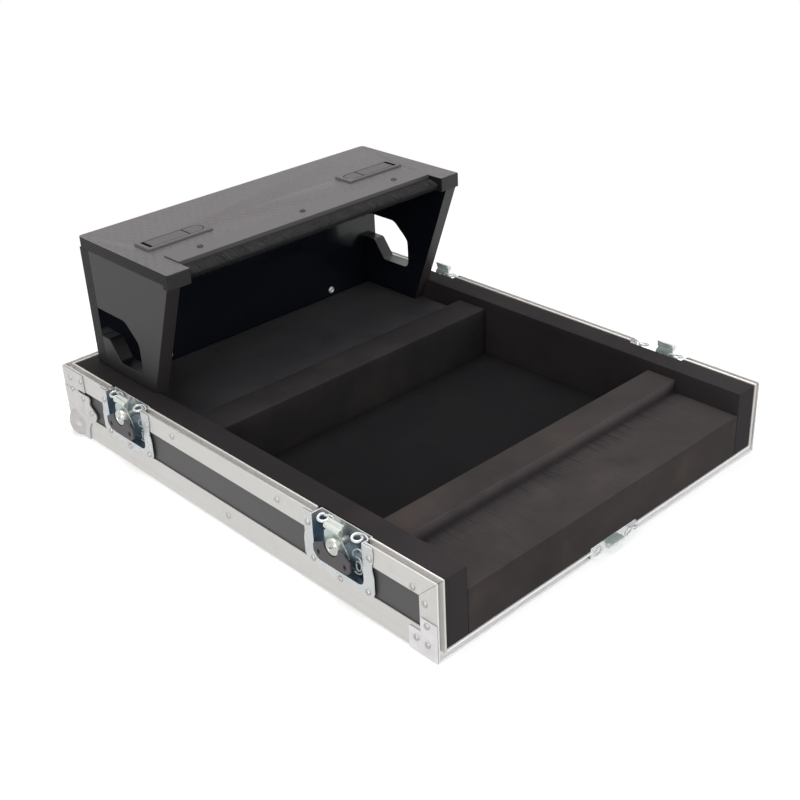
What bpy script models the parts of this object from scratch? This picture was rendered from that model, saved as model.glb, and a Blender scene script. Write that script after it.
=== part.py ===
"""Flight case tray for a compact mixer: foam lined base, cable housing and recessed latches.

Metres, +Z up. The tray opens towards -Y, its mirror plane is x = 0 and it stands on z = 0.
Lengths called y in the sizes below run back from the front opening, and heights run up from
the underside of the edge angles.
"""
import math
from dataclasses import dataclass

import bmesh
import bpy
from mathutils import Matrix, Vector

# Overall sizes of the tray
CASE_WIDTH = 0.520
CASE_DEPTH = 0.650
RIM_HEIGHT = 0.090

# Sheet thicknesses and the clearance between touching pieces
GAP = 0.0003
PANEL = 0.0067
METAL = 0.0015
PLATE = 0.0012

# Extruded closing profile: outer leg, groove and rounded tongue
LEG = 0.024
GROOVE_DEPTH = 0.006
TONGUE_WIDTH = 0.0026
TONGUE_RISE = 0.0013
INNER_LEG = 0.014

# Edge angles, and the cube that the ball corners take out of the frame
ANGLE = 0.030
CORNER_ROOM = 0.024
BALL_RADIUS = 0.020
BALL_PROUD = 0.0045
BALL_FACETS = 16
BRACE_REACH = 0.045
BRACE_JOGGLE = 0.0025
SKIRT_REACH = 0.039
EAR_OUTLINE = ((0.012, -GAP, 0), (SKIRT_REACH, -GAP, 0), (0.041, 0.013, 0.006),
               (0.0475, 0.024, 0.004), (0.063, 0.0335, 0.005), (0.0665, 0.0415, 0.004),
               (0.0595, 0.047, 0.004), (0.0515, 0.053, 0.004), (0.0565, 0.060, 0.0025),
               (0.052, 0.0629, 0.001), (0, 0.0629, 0), (0, 0.012, 0), (0.012, 0.012, 0))

# Foam lining
LINER = 0.040
FLOOR_FOAM = 0.005
FRONT_BAR_Y = 0.086
FRONT_BAR_DEPTH = 0.039
REAR_BAR_SETBACK = 0.2615
REAR_BAR_DEPTH = 0.047
BAR_TOP = 0.079
LEDGE_TOP = 0.063

# Cable housing
HOUSING_SIDE_ROOM = 0.0355
HOUSING_BACK_ROOM = 0.026
HOUSING_BOARD = 0.018
LID_TOP = 0.2536
LID_BOARD = 0.013
LID_DEPTH = 0.184
LID_LIP_DROP = 0.005
LID_LIP_DEPTH = 0.009
CHEEK_LEAN = 0.384
NOTCH_INSET = 0.0305
NOTCH_DEPTH = 0.0267
PORT_DEPTH = 0.0845
PORT_FLOOR_RUN = 0.0488
PORT_SILL_RUN = 0.0674
PORT_CHAMFER_RUN = 0.0253
PORT_CHAMFER_DROP = 0.0219
PORT_LOW = 0.105
PORT_HIGH = 0.167
PORT_SILL = 0.130

# Brush strip in the lid's notch
HOLDER_SHEET = 0.001
HOLDER_DEPTH = 0.029
HOLDER_LIP = 0.004
BRUSH_BACKING = 0.0055
BRUSH_LENGTH = 0.017
BRUSH_DROOP = 0.34
BRUSH_COLUMNS = 154
BRUSH_ROWS = 2
BRISTLE_WIDTH = 0.0011

# Flush latches in the lid
FLUSH_INSET = 0.027
FLUSH_SETBACK = 0.093
BEZEL_LENGTH = 0.091
BEZEL_WIDTH = 0.031
BEZEL_RISE = 0.0024
FLUSH_BODY_LENGTH = 0.084
FLUSH_BODY_WIDTH = 0.025
FLUSH_BODY_DROP = 0.0085
LEVER_LENGTH = 0.0515
LEVER_WIDTH = 0.020
LEVER_THICKNESS = 0.005
BUTTON_LENGTH = 0.0235
BUTTON_THICKNESS = 0.003
FINGER_GAP = 0.004
DIVIDER = 0.0006
WELL_DEPTH = 0.009
BOLT_WIDTH = 0.012
BOLT_HEIGHT = 0.005
BOLT_LENGTH = 0.042
BOLT_END_ROOM = 0.0007

# Recessed butterfly latches, drawn in their own frame (along, up, in)
LATCH_INSET = 0.136
DISH_OPENING = 0.073
DISH_HEIGHT = 0.052
DISH_DEPTH = 0.012
DISH_TOP = 0.0015
DISH_ROUND = 0.008
FLANGE_WIDTH = 0.104
FLANGE_SKIRT = 0.012
FLANGE_TAB = 0.0035
FLANGE_TAB_WIDTH = 0.040
RIM_BREAK = 0.078
SPINDLE_DROP = 0.020
SPINDLE_RADIUS = 0.004
DISC_RADIUS = 0.0095
DISC_THICKNESS = 0.0075
HOOK_PLATE = 0.002
HOOK_WIDTH = 0.026
HOOK_TAIL = 0.036
ROLL_RADIUS = 0.003
ROLL_WIDTH = 0.022
ROLL_DROP = 0.0065
HOOK_TIP_WIDTH = 0.024
HOOK_TIP_RISE = 0.001
HOOK_LEAN = 0.005
HOOK_TRAVEL = 0.007
HOOK_OFFSET = 0.0045
SUNK_LEAN = -0.0022
WING_WIDTH = 0.055
WING_HEIGHT = 0.023
WING_THICKNESS = 0.0025
WING_SLOT_INSET = 0.008
WING_SLOT_SHARE = 0.65
WING_ROOM = 0.001
FLANGE_WAIST = 0.002
STAND_OFF = 0.0102
SUNK_FACE = 0.0015

# Values worked out from the sizes above
LIFT = METAL
HALF = CASE_WIDTH / 2
BASE_TOP = METAL + GAP + PANEL
LINING = BASE_TOP + GAP
PROFILE_DEPTH = LINING + PLATE
FOAM_FACE = PROFILE_DEPTH + GAP
WEB_LOW = GROOVE_DEPTH + METAL
FRONT_REACH = HOOK_TRAVEL + HOOK_TIP_RISE
FRONT = (FRONT_REACH - CASE_DEPTH - BALL_PROUD) / 2
BACK = FRONT + CASE_DEPTH
RIM = LIFT + RIM_HEIGHT
LID_Z = LIFT + LID_TOP
LID_LOW = LID_Z - LID_BOARD
FLOOR_Z = LIFT + LINING
REAR_BAR_Y = CASE_DEPTH - REAR_BAR_SETBACK
HOUSING_HALF = HALF - HOUSING_SIDE_ROOM
HOUSING_BACK_Y = CASE_DEPTH - HOUSING_BACK_ROOM
HOUSING_FACE_Y = HOUSING_BACK_Y - HOUSING_BOARD
LID_FRONT_Y = HOUSING_BACK_Y - LID_DEPTH
NOTCH_HALF = HOUSING_HALF - NOTCH_INSET
FLUSH_Y = HOUSING_BACK_Y - FLUSH_SETBACK


def from_front(distance):
    """World y of a place this far behind the front opening."""
    return FRONT + distance


def from_base(height):
    """World z of a place this high above the underside of the edge angles."""
    return LIFT + height


# Mesh building

def new_object(name, vertices, faces):
    """A mesh object whose faces are turned outwards."""
    mesh = bpy.data.meshes.new(name)
    mesh.from_pydata([tuple(v) for v in vertices], [], faces)
    shape = bmesh.new()
    shape.from_mesh(mesh)
    bmesh.ops.recalc_face_normals(shape, faces=shape.faces)
    shape.to_mesh(mesh)
    shape.free()
    obj = bpy.data.objects.new(name, mesh)
    bpy.context.scene.collection.objects.link(obj)
    return obj


def box(low, high):
    """A block between two corners."""
    (x0, y0, z0), (x1, y1, z1) = low, high
    return prism([(x0, y0), (x1, y0), (x1, y1), (x0, y1)], "Z", z0, z1)


def prism(outline, axis, low, high):
    """An outline pushed along an axis; its points are (y, z), (x, z) or (x, y)."""
    count = len(outline)
    places = {
        "X": lambda p, q, t: (t, p, q),
        "Y": lambda p, q, t: (p, t, q),
        "Z": lambda p, q, t: (p, q, t),
    }
    place = places[axis]
    vertices = [place(p, q, low) for p, q in outline] + [place(p, q, high) for p, q in outline]
    sides = [(i, (i + 1) % count, (i + 1) % count + count, i + count) for i in range(count)]
    faces = [tuple(range(count)), tuple(range(2 * count - 1, count - 1, -1))] + sides
    return new_object("prism", vertices, faces)


def turned(profile, segments):
    """A closed profile of (radius, z) points turned about the z axis."""
    vertices = []
    rings = []
    for radius, z in profile:
        if radius == 0:
            rings.append([len(vertices)] * segments)
            vertices.append((0, 0, z))
            continue
        rings.append(list(range(len(vertices), len(vertices) + segments)))
        for step in range(segments):
            angle = 2 * math.pi * step / segments
            vertices.append((radius * math.cos(angle), radius * math.sin(angle), z))
    faces = []
    for upper, lower in zip(rings, rings[1:]):
        for step in range(segments):
            after = (step + 1) % segments
            corners = [upper[step], upper[after], lower[after], lower[step]]
            faces.append(tuple(dict.fromkeys(corners)))
    return new_object("turned", vertices, [f for f in faces if len(f) > 2])


def rounded(corners, steps=3):
    """An outline of (p, q, radius) corners with each corner rounded by an arc."""
    outline = []
    for i, (p, q, radius) in enumerate(corners):
        here = Vector((p, q))
        if radius == 0:
            outline.append((p, q))
            continue
        back = (Vector(corners[i - 1][:2]) - here).normalized()
        ahead = (Vector(corners[(i + 1) % len(corners)][:2]) - here).normalized()
        half_angle = back.angle(ahead) / 2
        centre = here + (back + ahead).normalized() * radius / math.sin(half_angle)
        start = here + back * radius / math.tan(half_angle) - centre
        finish = here + ahead * radius / math.tan(half_angle) - centre
        turn = math.atan2(start.x * finish.y - start.y * finish.x, start.dot(finish))
        for step in range(steps + 1):
            point = centre + Matrix.Rotation(turn * step / steps, 2) @ start
            outline.append((point.x, point.y))
    return outline


def evaluated_mesh(obj):
    """The mesh that an object's modifiers give."""
    bpy.context.view_layer.update()
    graph = bpy.context.evaluated_depsgraph_get()
    return bpy.data.meshes.new_from_object(obj.evaluated_get(graph))


def boolean(obj, tools, operation):
    """Joins or cuts an object with tools, which are then removed."""
    for tool in tools:
        step = obj.modifiers.new(operation.lower(), "BOOLEAN")
        step.operation = operation
        step.object = tool
    obj.data = evaluated_mesh(obj)
    obj.modifiers.clear()
    for tool in tools:
        bpy.data.objects.remove(tool)
    return obj


def fuse(obj, *tools):
    """The union of an object and tools."""
    return boolean(obj, tools, "UNION")


def carve(obj, *tools):
    """An object with tools cut out of it."""
    return boolean(obj, tools, "DIFFERENCE")


def placed(obj, matrix):
    """An object's mesh moved by a matrix."""
    obj.data.transform(matrix)
    return obj


def finish(obj, name, material, origin=(0, 0, 0), smooth=False):
    """Names a sub-part, gives it its material and puts its origin in place."""
    obj.name = name
    obj.data.name = name
    obj.data.materials.clear()
    obj.data.materials.append(material)
    obj.data.transform(Matrix.Translation(-Vector(origin)))
    obj.location = origin
    if smooth:
        obj.data.shade_smooth()
        obj.data.set_sharp_from_angle(angle=math.radians(35))
    return obj


def make_material(name, colour, roughness, metallic=0.0):
    """A plain surface of one colour."""
    material = bpy.data.materials.new(name)
    material.use_nodes = True
    surface = material.node_tree.nodes["Principled BSDF"]
    surface.inputs["Base Color"].default_value = (*colour, 1)
    surface.inputs["Roughness"].default_value = roughness
    surface.inputs["Metallic"].default_value = metallic
    return material


# The tray's panels and metal edges

def profile_section():
    """The closing profile's outline: inwards from its outer face, and back from its opening."""
    tongue_outer = PROFILE_DEPTH - TONGUE_WIDTH
    crown = TONGUE_WIDTH * 0.16
    shoulder = TONGUE_RISE * 0.7
    return [
        (0, 0),
        (0, LEG),
        (METAL, LEG),
        (METAL, WEB_LOW),
        (PROFILE_DEPTH - PLATE, WEB_LOW),
        (PROFILE_DEPTH - PLATE, INNER_LEG),
        (PROFILE_DEPTH, INNER_LEG),
        (PROFILE_DEPTH, 0),
        (PROFILE_DEPTH - crown, -shoulder),
        (PROFILE_DEPTH - TONGUE_WIDTH / 2, -TONGUE_RISE),
        (tongue_outer + crown, -shoulder),
        (tongue_outer, 0),
        (tongue_outer, GROOVE_DEPTH),
        (METAL, GROOVE_DEPTH),
        (METAL, 0),
    ]


def profile_through(rings):
    """A length of closing profile through rings of (outer corner, inwards, back)."""
    section = profile_section()
    count = len(section)
    vertices = []
    for corner, inwards, back in rings:
        corner, inwards, back = Vector(corner), Vector(inwards), Vector(back)
        vertices += [corner + inwards * u + back * w for u, w in section]
    last = (len(rings) - 1) * count
    faces = [tuple(range(count)), tuple(range(last, last + count))]
    for ring in range(0, last, count):
        for i in range(count):
            after = (i + 1) % count
            faces.append((ring + i, ring + after, ring + count + after, ring + count + i))
    return new_object("profile", vertices, faces)


def rim_front_profile(side):
    """The rim profile in front of a side wall's first latch, mitred at the front corner."""
    inwards = (-side, 0, 0)
    return profile_through([
        ((side * HALF, FRONT + GAP / 2, RIM), inwards, (0, 1, -1)),
        ((side * HALF, from_front(LATCH_INSET - RIM_BREAK / 2), RIM), inwards, (0, 0, -1)),
    ])


def rim_side_profile(side):
    """The rim profile between a side wall's two latches."""
    places = (LATCH_INSET + RIM_BREAK / 2, CASE_DEPTH - LATCH_INSET - RIM_BREAK / 2)
    return profile_through([((side * HALF, from_front(place), RIM), (-side, 0, 0), (0, 0, -1))
                            for place in places])


def rim_rear_profile():
    """The rim profile behind the rear latches, mitred at both corners of the back wall."""
    end = from_front(CASE_DEPTH - LATCH_INSET + RIM_BREAK / 2)
    down = (0, 0, -1)
    return profile_through([
        ((-HALF, end, RIM), (1, 0, 0), down),
        ((-HALF, BACK, RIM), (1, -1, 0), down),
        ((HALF, BACK, RIM), (-1, -1, 0), down),
        ((HALF, end, RIM), (-1, 0, 0), down),
    ])


def front_profile(side):
    """The profile down a side wall's front edge and along the bottom to the front latch."""
    return profile_through([
        ((side * HALF, FRONT, RIM - GAP / 2), (-side, 0, 0), (0, 1, -1)),
        ((side * HALF, FRONT, LIFT), (-side, 0, 1), (0, 1, 0)),
        ((side * RIM_BREAK / 2, FRONT, LIFT), (0, 0, 1), (0, 1, 0)),
    ])


def angle_outline(corner_p, corner_q, to_p, to_q):
    """An equal angle's section, from its outer corner towards +-p and +-q."""
    return [
        (corner_p, corner_q),
        (corner_p + to_p * ANGLE, corner_q),
        (corner_p + to_p * ANGLE, corner_q + to_q * METAL),
        (corner_p + to_p * METAL, corner_q + to_q * METAL),
        (corner_p + to_p * METAL, corner_q + to_q * ANGLE),
        (corner_p, corner_q + to_q * ANGLE),
    ]


def latch_cut():
    """Half the width and the height of the hole that a latch's dish needs."""
    return DISH_OPENING / 2 + PLATE + GAP * 2, DISH_TOP + DISH_HEIGHT + PLATE + GAP * 2


def side_wall(side):
    """One side wall's panel, with a hole for each latch and its corner cut for the ball."""
    low = from_base(METAL + GAP)
    high = RIM - WEB_LOW - GAP
    front = from_front(WEB_LOW + GAP)
    back = BACK - METAL - GAP
    half, drop = latch_cut()
    outline = [(front, low), (back - CORNER_ROOM, low), (back - CORNER_ROOM, low + CORNER_ROOM),
               (back, low + CORNER_ROOM), (back, high)]
    for centre in (CASE_DEPTH - LATCH_INSET, LATCH_INSET):
        far, near = from_front(centre + half), from_front(centre - half)
        outline += [(far, high), (far, RIM - drop), (near, RIM - drop), (near, high)]
    outline.append((front, high))
    faces = sorted((side * (HALF - METAL - GAP), side * (HALF - BASE_TOP)))
    return prism(outline, "X", *faces)


def back_wall():
    """The back wall's panel, between the side walls."""
    half = HALF - LINING
    low = from_base(METAL + GAP)
    cut = HALF - METAL - GAP - CORNER_ROOM
    outline = [(-cut, low), (cut, low), (cut, low + CORNER_ROOM), (half, low + CORNER_ROOM),
               (half, RIM - WEB_LOW - GAP), (-half, RIM - WEB_LOW - GAP),
               (-half, low + CORNER_ROOM), (-cut, low + CORNER_ROOM)]
    return prism(outline, "Y", BACK - BASE_TOP, BACK - METAL - GAP)


def bottom_panel():
    """The bottom panel, between the walls, with a hole for the front latch."""
    half = HALF - LINING
    front = from_front(WEB_LOW + GAP)
    back = BACK - LINING
    cut_x = HALF - METAL - GAP - CORNER_ROOM
    cut_y = BACK - METAL - GAP - CORNER_ROOM
    hole, reach = latch_cut()
    outline = [(-half, front), (-hole, front), (-hole, from_front(reach)),
               (hole, from_front(reach)), (hole, front), (half, front), (half, cut_y),
               (cut_x, cut_y), (cut_x, back), (-cut_x, back), (-cut_x, cut_y), (-half, cut_y)]
    return prism(outline, "Z", from_base(METAL + GAP), from_base(BASE_TOP))


def corner_frame(side):
    """Turns (inwards from side, forwards from back, up) into the world at a rear corner."""
    return lambda u, b, z: (side * (HALF - u), BACK - b, LIFT + z)


def corner_box(side, low, high):
    """A block near a rear corner, given in its own directions."""
    place = corner_frame(side)
    first, second = place(*low), place(*high)
    lows = [min(a, b) for a, b in zip(first, second)]
    highs = [max(a, b) for a, b in zip(first, second)]
    return box(lows, highs)


def corner_plan(side, outline):
    """An outline of (outwards from the side, backwards) points at a rear corner, in plan."""
    return [(side * (HALF + u), BACK + v) for u, v in outline]


def ear_plate(side):
    """The leaf-shaped ear of a ball corner on its side wall."""
    outline = [(BACK - p, LIFT + q) for p, q in rounded(EAR_OUTLINE, 2)]
    faces = sorted((side * (HALF + GAP), side * (HALF + GAP + METAL)))
    return prism(outline, "X", *faces)


def ball_corner(side):
    """A rear bottom corner: a ball, an ear on the side wall, and flanges behind and below."""
    place = corner_frame(side)
    inset = BALL_RADIUS - BALL_PROUD
    profile = [(BALL_RADIUS * math.sin(math.pi * i / 10), BALL_RADIUS * math.cos(math.pi * i / 10))
               for i in range(1, 10)]
    profile = [(0, BALL_RADIUS)] + profile + [(0, -BALL_RADIUS)]
    ball = placed(turned(profile, BALL_FACETS), Matrix.Translation(place(inset, inset, inset)))
    room = CORNER_ROOM
    far = room * 4
    bounds = [
        corner_box(side, (room, -far, -far), (far, far, far)),
        corner_box(side, (-far, room, -far), (far, far, far)),
        corner_box(side, (-far, -far, room), (far, far, far)),
        corner_box(side, (-far, -far, -far), (far, far, -LIFT)),
    ]
    inner = BASE_TOP
    hollow = corner_box(side, (inner, inner, inner), (far, far, far))
    carve(ball, *bounds, hollow)
    outer = -GAP - METAL
    step = room * 0.5
    reach = room * 1.75
    back_flange = corner_box(side, (outer, outer, step), (reach, -GAP, room * 2.62))
    back_skirt = corner_box(side, (step, outer, -GAP), (reach, -GAP, step * 1.5))
    under_flange = corner_box(side, (step, outer, -LIFT), (reach, reach, -GAP))
    under_side = corner_box(side, (outer, step, -LIFT), (step * 1.5, SKIRT_REACH, -GAP))
    side_flange = corner_box(side, (outer, outer, step), (-GAP, step * 1.5, room * 2.62))
    side_skirt = corner_box(side, (outer, step, -LIFT), (-GAP, SKIRT_REACH, step))
    return fuse(ball, back_flange, back_skirt, under_flange, under_side, side_flange,
                side_skirt, ear_plate(side))


def corner_brace(side):
    """The upright angle of a rear corner with the plate that wraps the corner's top."""
    outer = GAP + PLATE
    reach = BRACE_REACH
    low = RIM - LEG - GAP
    plan = [(outer, outer), (outer, -reach), (GAP, -reach), (GAP, GAP), (-reach, GAP),
            (-reach, outer)]
    plate = prism(corner_plan(side, plan), "Z", low, RIM - DISH_TOP)
    strip = [(outer, outer), (outer, -ANGLE), (-METAL / 2, -ANGLE), (-METAL / 2, -METAL / 2),
             (-ANGLE, -METAL / 2), (-ANGLE, outer)]
    joggle = prism(corner_plan(side, strip), "Z", low - BRACE_JOGGLE, low + GAP / 2)
    angle = prism(angle_outline(side * HALF, BACK, -side, -1), "Z", LIFT + ANGLE + GAP, low)
    return fuse(angle, joggle, plate)


def front_corner_plate(side):
    """The L-shaped plate at a front bottom corner, folded under the case."""
    outer = GAP + PLATE
    side_outline = rounded([(0, 0, 0), (0.038, 0, 0), (0.038, 0.027, 0.002), (0.022, 0.027, 0),
                            (0.022, 0.044, 0.002), (0, 0.044, 0.002)])
    side_outline = [(from_front(p + GAP), LIFT + q - outer) for p, q in side_outline]
    faces = sorted((side * (HALF + GAP), side * (HALF + outer)))
    upright = prism(side_outline, "X", *faces)
    under = [side * (HALF + outer), side * (HALF - 0.030)]
    fold = box((min(under), from_front(GAP), 0), (max(under), from_front(0.038 + GAP), PLATE))
    return fuse(upright, fold)


# Foam lining

def cheek_front(z):
    """World y of the housing cheeks' leaning front edge at a world z."""
    return from_front(LID_FRONT_Y + METAL) + CHEEK_LEAN * (LID_LOW - z)


def housing_room(side):
    """The space that a cheek and the back board's end need in the foam."""
    back = from_front(HOUSING_BACK_Y) + GAP
    low = FLOOR_Z - 0.01
    high = RIM + 0.02
    outline = [(cheek_front(low) - GAP, low), (cheek_front(high) - GAP, high), (back, high),
               (back, low)]
    inner = side * (HOUSING_HALF - HOUSING_BOARD - GAP)
    faces = sorted((side * (HOUSING_HALF + GAP), inner))
    return prism(outline, "X", *faces)


def side_foam(side):
    """One side's liner, rebated for the rim profile and cut for the latches and housing."""
    face = side * (HALF - LINER)
    wall = side * (HALF - LINING)
    end = from_front(CASE_DEPTH - FOAM_FACE)
    liner = box((min(face, wall), FRONT, FLOOR_Z), (max(face, wall), end, RIM))
    metal = sorted((side * (HALF - FOAM_FACE), side * HALF))
    top = box((metal[0], FRONT - 0.01, RIM - INNER_LEG - GAP), (metal[1], end + 0.01, RIM + 0.01))
    front = box((metal[0], FRONT - 0.01, 0), (metal[1], from_front(INNER_LEG) + GAP, RIM + 0.01))
    sill = box((min(face, wall) - 0.01, FRONT - 0.01, 0),
               (max(face, wall) + 0.01, from_front(INNER_LEG) + GAP, from_base(FOAM_FACE)))
    dish = sorted((side * (HALF - DISH_DEPTH - PLATE - GAP), side * HALF))
    half, drop = latch_cut()
    pockets = []
    for centre in (LATCH_INSET, CASE_DEPTH - LATCH_INSET):
        low = (dish[0], from_front(centre - half), RIM - drop)
        pockets.append(box(low, (dish[1], from_front(centre + half), RIM + 0.01)))
    return carve(liner, fuse(top, front, sill), *pockets, housing_room(side))


def front_foam():
    """The front block: a ledge with a bar behind it."""
    bar_back = FRONT_BAR_Y + FRONT_BAR_DEPTH
    outline = [(0, FOAM_FACE), (INNER_LEG + GAP, FOAM_FACE), (INNER_LEG + GAP, LINING),
               (bar_back, LINING), (bar_back, BAR_TOP), (FRONT_BAR_Y, BAR_TOP),
               (FRONT_BAR_Y, LEDGE_TOP), (0, LEDGE_TOP)]
    half = HALF - LINER - GAP
    block = prism([(from_front(y), from_base(z)) for y, z in outline], "X", -half, half)
    hole, reach = latch_cut()
    pocket = box((-hole, FRONT - 0.01, 0),
                 (hole, from_front(reach), from_base(DISH_DEPTH + PLATE + GAP)))
    return carve(block, pocket)


def rear_foam():
    """The rear block: a bar at the well's edge and a ledge back to the housing's board."""
    bar_back = REAR_BAR_Y + REAR_BAR_DEPTH
    end = HOUSING_FACE_Y - GAP
    outline = [(REAR_BAR_Y, LINING), (end, LINING), (end, LEDGE_TOP), (bar_back, LEDGE_TOP),
               (bar_back, BAR_TOP), (REAR_BAR_Y, BAR_TOP)]
    half = HALF - LINER - GAP
    block = prism([(from_front(y), from_base(z)) for y, z in outline], "X", -half, half)
    return carve(block, housing_room(-1), housing_room(1))


def back_foam():
    """The liner behind the housing."""
    half = HALF - LINER - GAP
    low = from_front(HOUSING_BACK_Y) + GAP
    high = BACK - FOAM_FACE
    return box((-half, low, FLOOR_Z), (half, high, RIM))


def floor_foam():
    """The thin lining of the mixer's well."""
    half = HALF - LINER - GAP
    low = from_front(FRONT_BAR_Y + FRONT_BAR_DEPTH) + GAP
    return box((-half, low, FLOOR_Z), (half, from_front(REAR_BAR_Y) - GAP, FLOOR_Z + FLOOR_FOAM))


# Cable housing

def cheek(side):
    """A side board of the housing, with its cable port at the rear."""
    top = LID_LOW - GAP
    lip = top - LID_LIP_DROP
    lip_back = from_front(LID_FRONT_Y + LID_LIP_DEPTH) + GAP
    end = from_front(HOUSING_FACE_Y) - GAP
    front = from_front(HOUSING_FACE_Y - PORT_DEPTH)
    high, low, sill = (from_base(h) for h in (PORT_HIGH, PORT_LOW, PORT_SILL))
    corners = [
        (cheek_front(FLOOR_Z), FLOOR_Z, 0),
        (end, FLOOR_Z, 0),
        (end, sill, 0),
        (front + PORT_SILL_RUN, sill, 0.006),
        (front + PORT_FLOOR_RUN, low, 0.005),
        (front, low, 0.009),
        (front, high - PORT_CHAMFER_DROP, 0.014),
        (front + PORT_CHAMFER_RUN, high, 0.014),
        (end, high, 0),
        (end, top, 0),
        (lip_back, top, 0),
        (lip_back, lip, 0),
        (cheek_front(lip), lip, 0),
    ]
    faces = sorted((side * HOUSING_HALF, side * (HOUSING_HALF - HOUSING_BOARD)))
    return prism(rounded(corners), "X", *faces)


def back_board():
    """The housing's back board, across the cheeks' ends."""
    return box((-HOUSING_HALF, from_front(HOUSING_FACE_Y), FLOOR_Z),
               (HOUSING_HALF, from_front(HOUSING_BACK_Y), LID_LOW - GAP))


def housing_lid():
    """The housing's lid, notched for the brush and cut for the two flush latches."""
    front = from_front(LID_FRONT_Y)
    back = from_front(HOUSING_BACK_Y)
    notch = NOTCH_HALF
    plan = rounded([
        (-HOUSING_HALF, front, 0), (-notch, front, 0), (-notch, front + NOTCH_DEPTH, 0),
        (notch, front + NOTCH_DEPTH, 0), (notch, front, 0), (HOUSING_HALF, front, 0),
        (HOUSING_HALF, back, 0.005), (-HOUSING_HALF, back, 0.005),
    ])
    lid = prism(plan, "Z", LID_LOW, LID_Z)
    for side in (-1, 1):
        ends = sorted((side * notch, side * HOUSING_HALF))
        drop = LID_LOW - LID_LIP_DROP
        fuse(lid, box((ends[0], front, drop), (ends[1], front + LID_LIP_DEPTH, LID_LOW + METAL)))
    holes = [flush_box(side, -GAP, FLUSH_BODY_LENGTH + GAP, FLUSH_BODY_WIDTH / 2 + GAP,
                       LID_LOW - 0.01, LID_Z + 0.01) for side in (-1, 1)]
    return carve(lid, *holes)


def brush_holder():
    """The folded strip that carries the brush."""
    front = from_front(LID_FRONT_Y) + NOTCH_DEPTH - BRUSH_BACKING + GAP
    low = LID_Z + GAP
    high = low + HOLDER_SHEET
    outline = [(front, LID_Z - HOLDER_LIP), (front + HOLDER_SHEET, LID_Z - HOLDER_LIP),
               (front + HOLDER_SHEET, low), (front + HOLDER_DEPTH, low),
               (front + HOLDER_DEPTH, high), (front, high)]
    half = NOTCH_HALF - GAP
    return prism(outline, "X", -half, half)


def brush():
    """Bristles in rows along their backing, pointing forwards and drooping a little."""
    half = NOTCH_HALF - GAP
    back = from_front(LID_FRONT_Y) + NOTCH_DEPTH - GAP
    face = back - BRUSH_BACKING
    high = LID_Z - HOLDER_LIP - GAP
    low = high - BRUSH_BACKING
    shape = bmesh.new()
    columns = [-half + 2 * half * i / BRUSH_COLUMNS for i in range(BRUSH_COLUMNS + 1)]
    rows = [low + (high - low) * j / BRUSH_ROWS for j in range(BRUSH_ROWS + 1)]
    grid = [[shape.verts.new((x, face, z)) for z in rows] for x in columns]
    root = BRISTLE_WIDTH / 2
    for i in range(BRUSH_COLUMNS):
        for j in range(BRUSH_ROWS):
            cell = [grid[i][j], grid[i + 1][j], grid[i + 1][j + 1], grid[i][j + 1]]
            x = (columns[i] + columns[i + 1]) / 2
            z = (rows[j] + rows[j + 1]) / 2
            signs = [(-1, -1), (1, -1), (1, 1), (-1, 1)]
            base = [shape.verts.new((x + root * a, face, z + root * b)) for a, b in signs]
            sway = 0.0006 * math.sin(2.4 * i + 1.7 * j)
            length = BRUSH_LENGTH * (1 - 0.06 * (0.5 + 0.5 * math.sin(5.1 * i + 2.3 * j)))
            tip = shape.verts.new((x + sway, face - length, z - length * BRUSH_DROOP))
            for k in range(4):
                after = (k + 1) % 4
                shape.faces.new((cell[k], cell[after], base[after], base[k]))
                shape.faces.new((base[k], base[after], tip))
    edge = [row[0] for row in grid] + grid[-1][1:]
    edge += [row[-1] for row in reversed(grid[:-1])] + list(reversed(grid[0][1:-1]))
    rear = [shape.verts.new((v.co.x, back, v.co.z)) for v in edge]
    for i in range(len(edge)):
        after = (i + 1) % len(edge)
        shape.faces.new((edge[i], rear[i], rear[after], edge[after]))
    shape.faces.new(rear)
    bmesh.ops.recalc_face_normals(shape, faces=shape.faces)
    mesh = bpy.data.meshes.new("brush")
    shape.to_mesh(mesh)
    shape.free()
    obj = bpy.data.objects.new("brush", mesh)
    bpy.context.scene.collection.objects.link(obj)
    return obj


# Flush latches in the lid. Their lengths run inwards from the end that faces the cheek.

def flush_x(side, distance):
    """World x at a distance inwards from the outer end of a flush latch's body."""
    inset = FLUSH_INSET + (BEZEL_LENGTH - FLUSH_BODY_LENGTH) / 2
    return side * (HOUSING_HALF - inset - distance)


def flush_box(side, start, end, half_width, low, high):
    """A block in a flush latch."""
    ends = sorted((flush_x(side, start), flush_x(side, end)))
    y = from_front(FLUSH_Y)
    return box((ends[0], y - half_width, low), (ends[1], y + half_width, high))


def rounded_bar(side, start, end, half_width, low, high, draft=0.0):
    """A block whose inner end is rounded, narrowed by a draft at its top."""
    y = from_front(FLUSH_Y)
    centre = end - half_width
    outline = [(start, -half_width), (centre, -half_width)]
    outline += [(centre + half_width * math.sin(math.pi * i / 8),
                 -half_width * math.cos(math.pi * i / 8)) for i in range(1, 8)]
    outline += [(centre, half_width), (start, half_width)]
    plan = [(flush_x(side, p), y + q) for p, q in outline]
    bar = prism(plan, "Z", low, high)
    for vertex in bar.data.vertices:
        if vertex.co.z > high - METAL:
            vertex.co.y = y + (vertex.co.y - y) * (1 - draft)
    return bar


def flush_levels():
    """The heights shared by a flush latch's pieces: face, well floor, bolt and body bottom."""
    face = LID_Z + BEZEL_RISE
    floor = face - WELL_DEPTH
    bolt_top = LID_LOW - METAL
    body_low = LID_LOW - FLUSH_BODY_DROP
    return face, floor, bolt_top, body_low


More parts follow.
